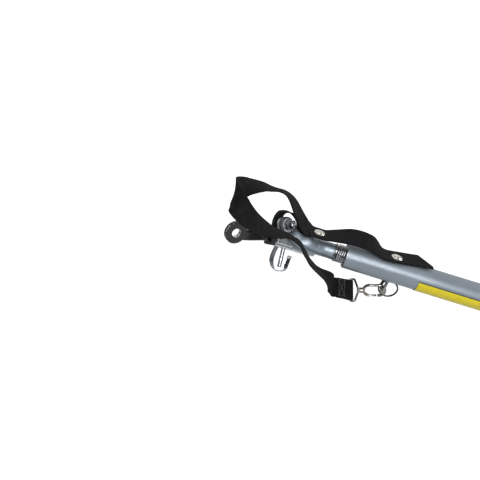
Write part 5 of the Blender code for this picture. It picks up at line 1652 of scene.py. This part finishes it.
def floor_finish():
    f = Finish("pale_floor", (0.86, 0.86, 0.86), 0.9, Specular_IOR_Level=0.1)
    rays = f.node("LightPath").outputs
    seen = rays["Is Camera Ray"]
    shown = f.larger(seen, f.larger(rays["Is Glossy Ray"], rays["Is Transmission Ray"]))
    glow = f.ramp(f.far_from((-0.35, 0.10, 0)), 0.45, 1.3, FLOOR_LIFT, 1.0)
    f.give(Base_Color=f.mix(shown, (0.42, 0.42, 0.42), (0.86, 0.86, 0.86)),
           Emission_Color=(1, 1, 1, 1), Emission_Strength=f.times(seen, glow))
    return f.mat


floor_mesh = bpy.data.meshes.new("floor")
corners = [(x * FLOOR_HALF, y * FLOOR_HALF, FLOOR_Z)
           for x, y in ((-1, -1), (1, -1), (1, 1), (-1, 1))]
floor_mesh.from_pydata(corners, [], [(0, 1, 2, 3)])
floor_mesh.materials.append(floor_finish())
floor = add_object("floor", floor_mesh)
print("floor at", FLOOR_Z)

# %% The world
BACKDROP_WAY, BACKDROP_FROM, BACKDROP_TO = (0.43, 0.90, 0.10), -0.20, 0.95
ROOM_DARK, ROOM_BRIGHT, ROOM_LIGHT = 0.15, 1.0, 0.36

world = bpy.data.worlds.new("studio")
bpy.context.scene.world = world
world.use_nodes = True
sky = Nodes(world.node_tree)
sky.tree.nodes.clear()
rays = sky.node("LightPath").outputs
seen = rays["Is Camera Ray"]
shown = sky.larger(seen, sky.larger(rays["Is Glossy Ray"], rays["Is Transmission Ray"]))
toward = sky.node("VectorMath", operation="DOT_PRODUCT", i1=BACKDROP_WAY,
                  i0=sky.node("TexCoord").outputs["Generated"]).outputs["Value"]
room = sky.ramp(toward, BACKDROP_FROM, BACKDROP_TO, ROOM_DARK, ROOM_BRIGHT)
pale = sky.node("Background", Color=(0.93, 0.96, 1.0, 1), Strength=ROOM_LIGHT)
white = sky.node("Background", Color=(1, 1, 1, 1), Strength=sky.larger(seen, room))
both = sky.node("MixShader", i0=shown, i1=pale.outputs[0], i2=white.outputs[0])
sky.node("OutputWorld", Surface=both.outputs[0])
print("world made of", len(sky.tree.nodes), "nodes")

# %% The lamps
TARGET = Vector((-0.39, 0.14, 0.05))
LAMPS = {
    "key": ((-0.76, -0.88, 0.73), (0.60, 0.83), 15),
    "top": ((-0.45, 0.05, 1.35), (1.1, 0.8), 3.5),
    "side": ((0.64, -0.27, 0.48), (0.40, 0.40), 4.5),
    "fill": ((0.40, -1.10, 0.50), (1.2, 0.9), 2),
}
for name, (at, size, power) in LAMPS.items():
    light = bpy.data.lights.new(name, "AREA")
    light.shape = "RECTANGLE"
    light.size, light.size_y = size
    light.energy = power
    lamp = add_object(name, light)
    lamp.location = at
    lamp.rotation_euler = (TARGET - Vector(at)).to_track_quat("-Z", "Y").to_euler()
    print(name, "lamp of", power, "W")
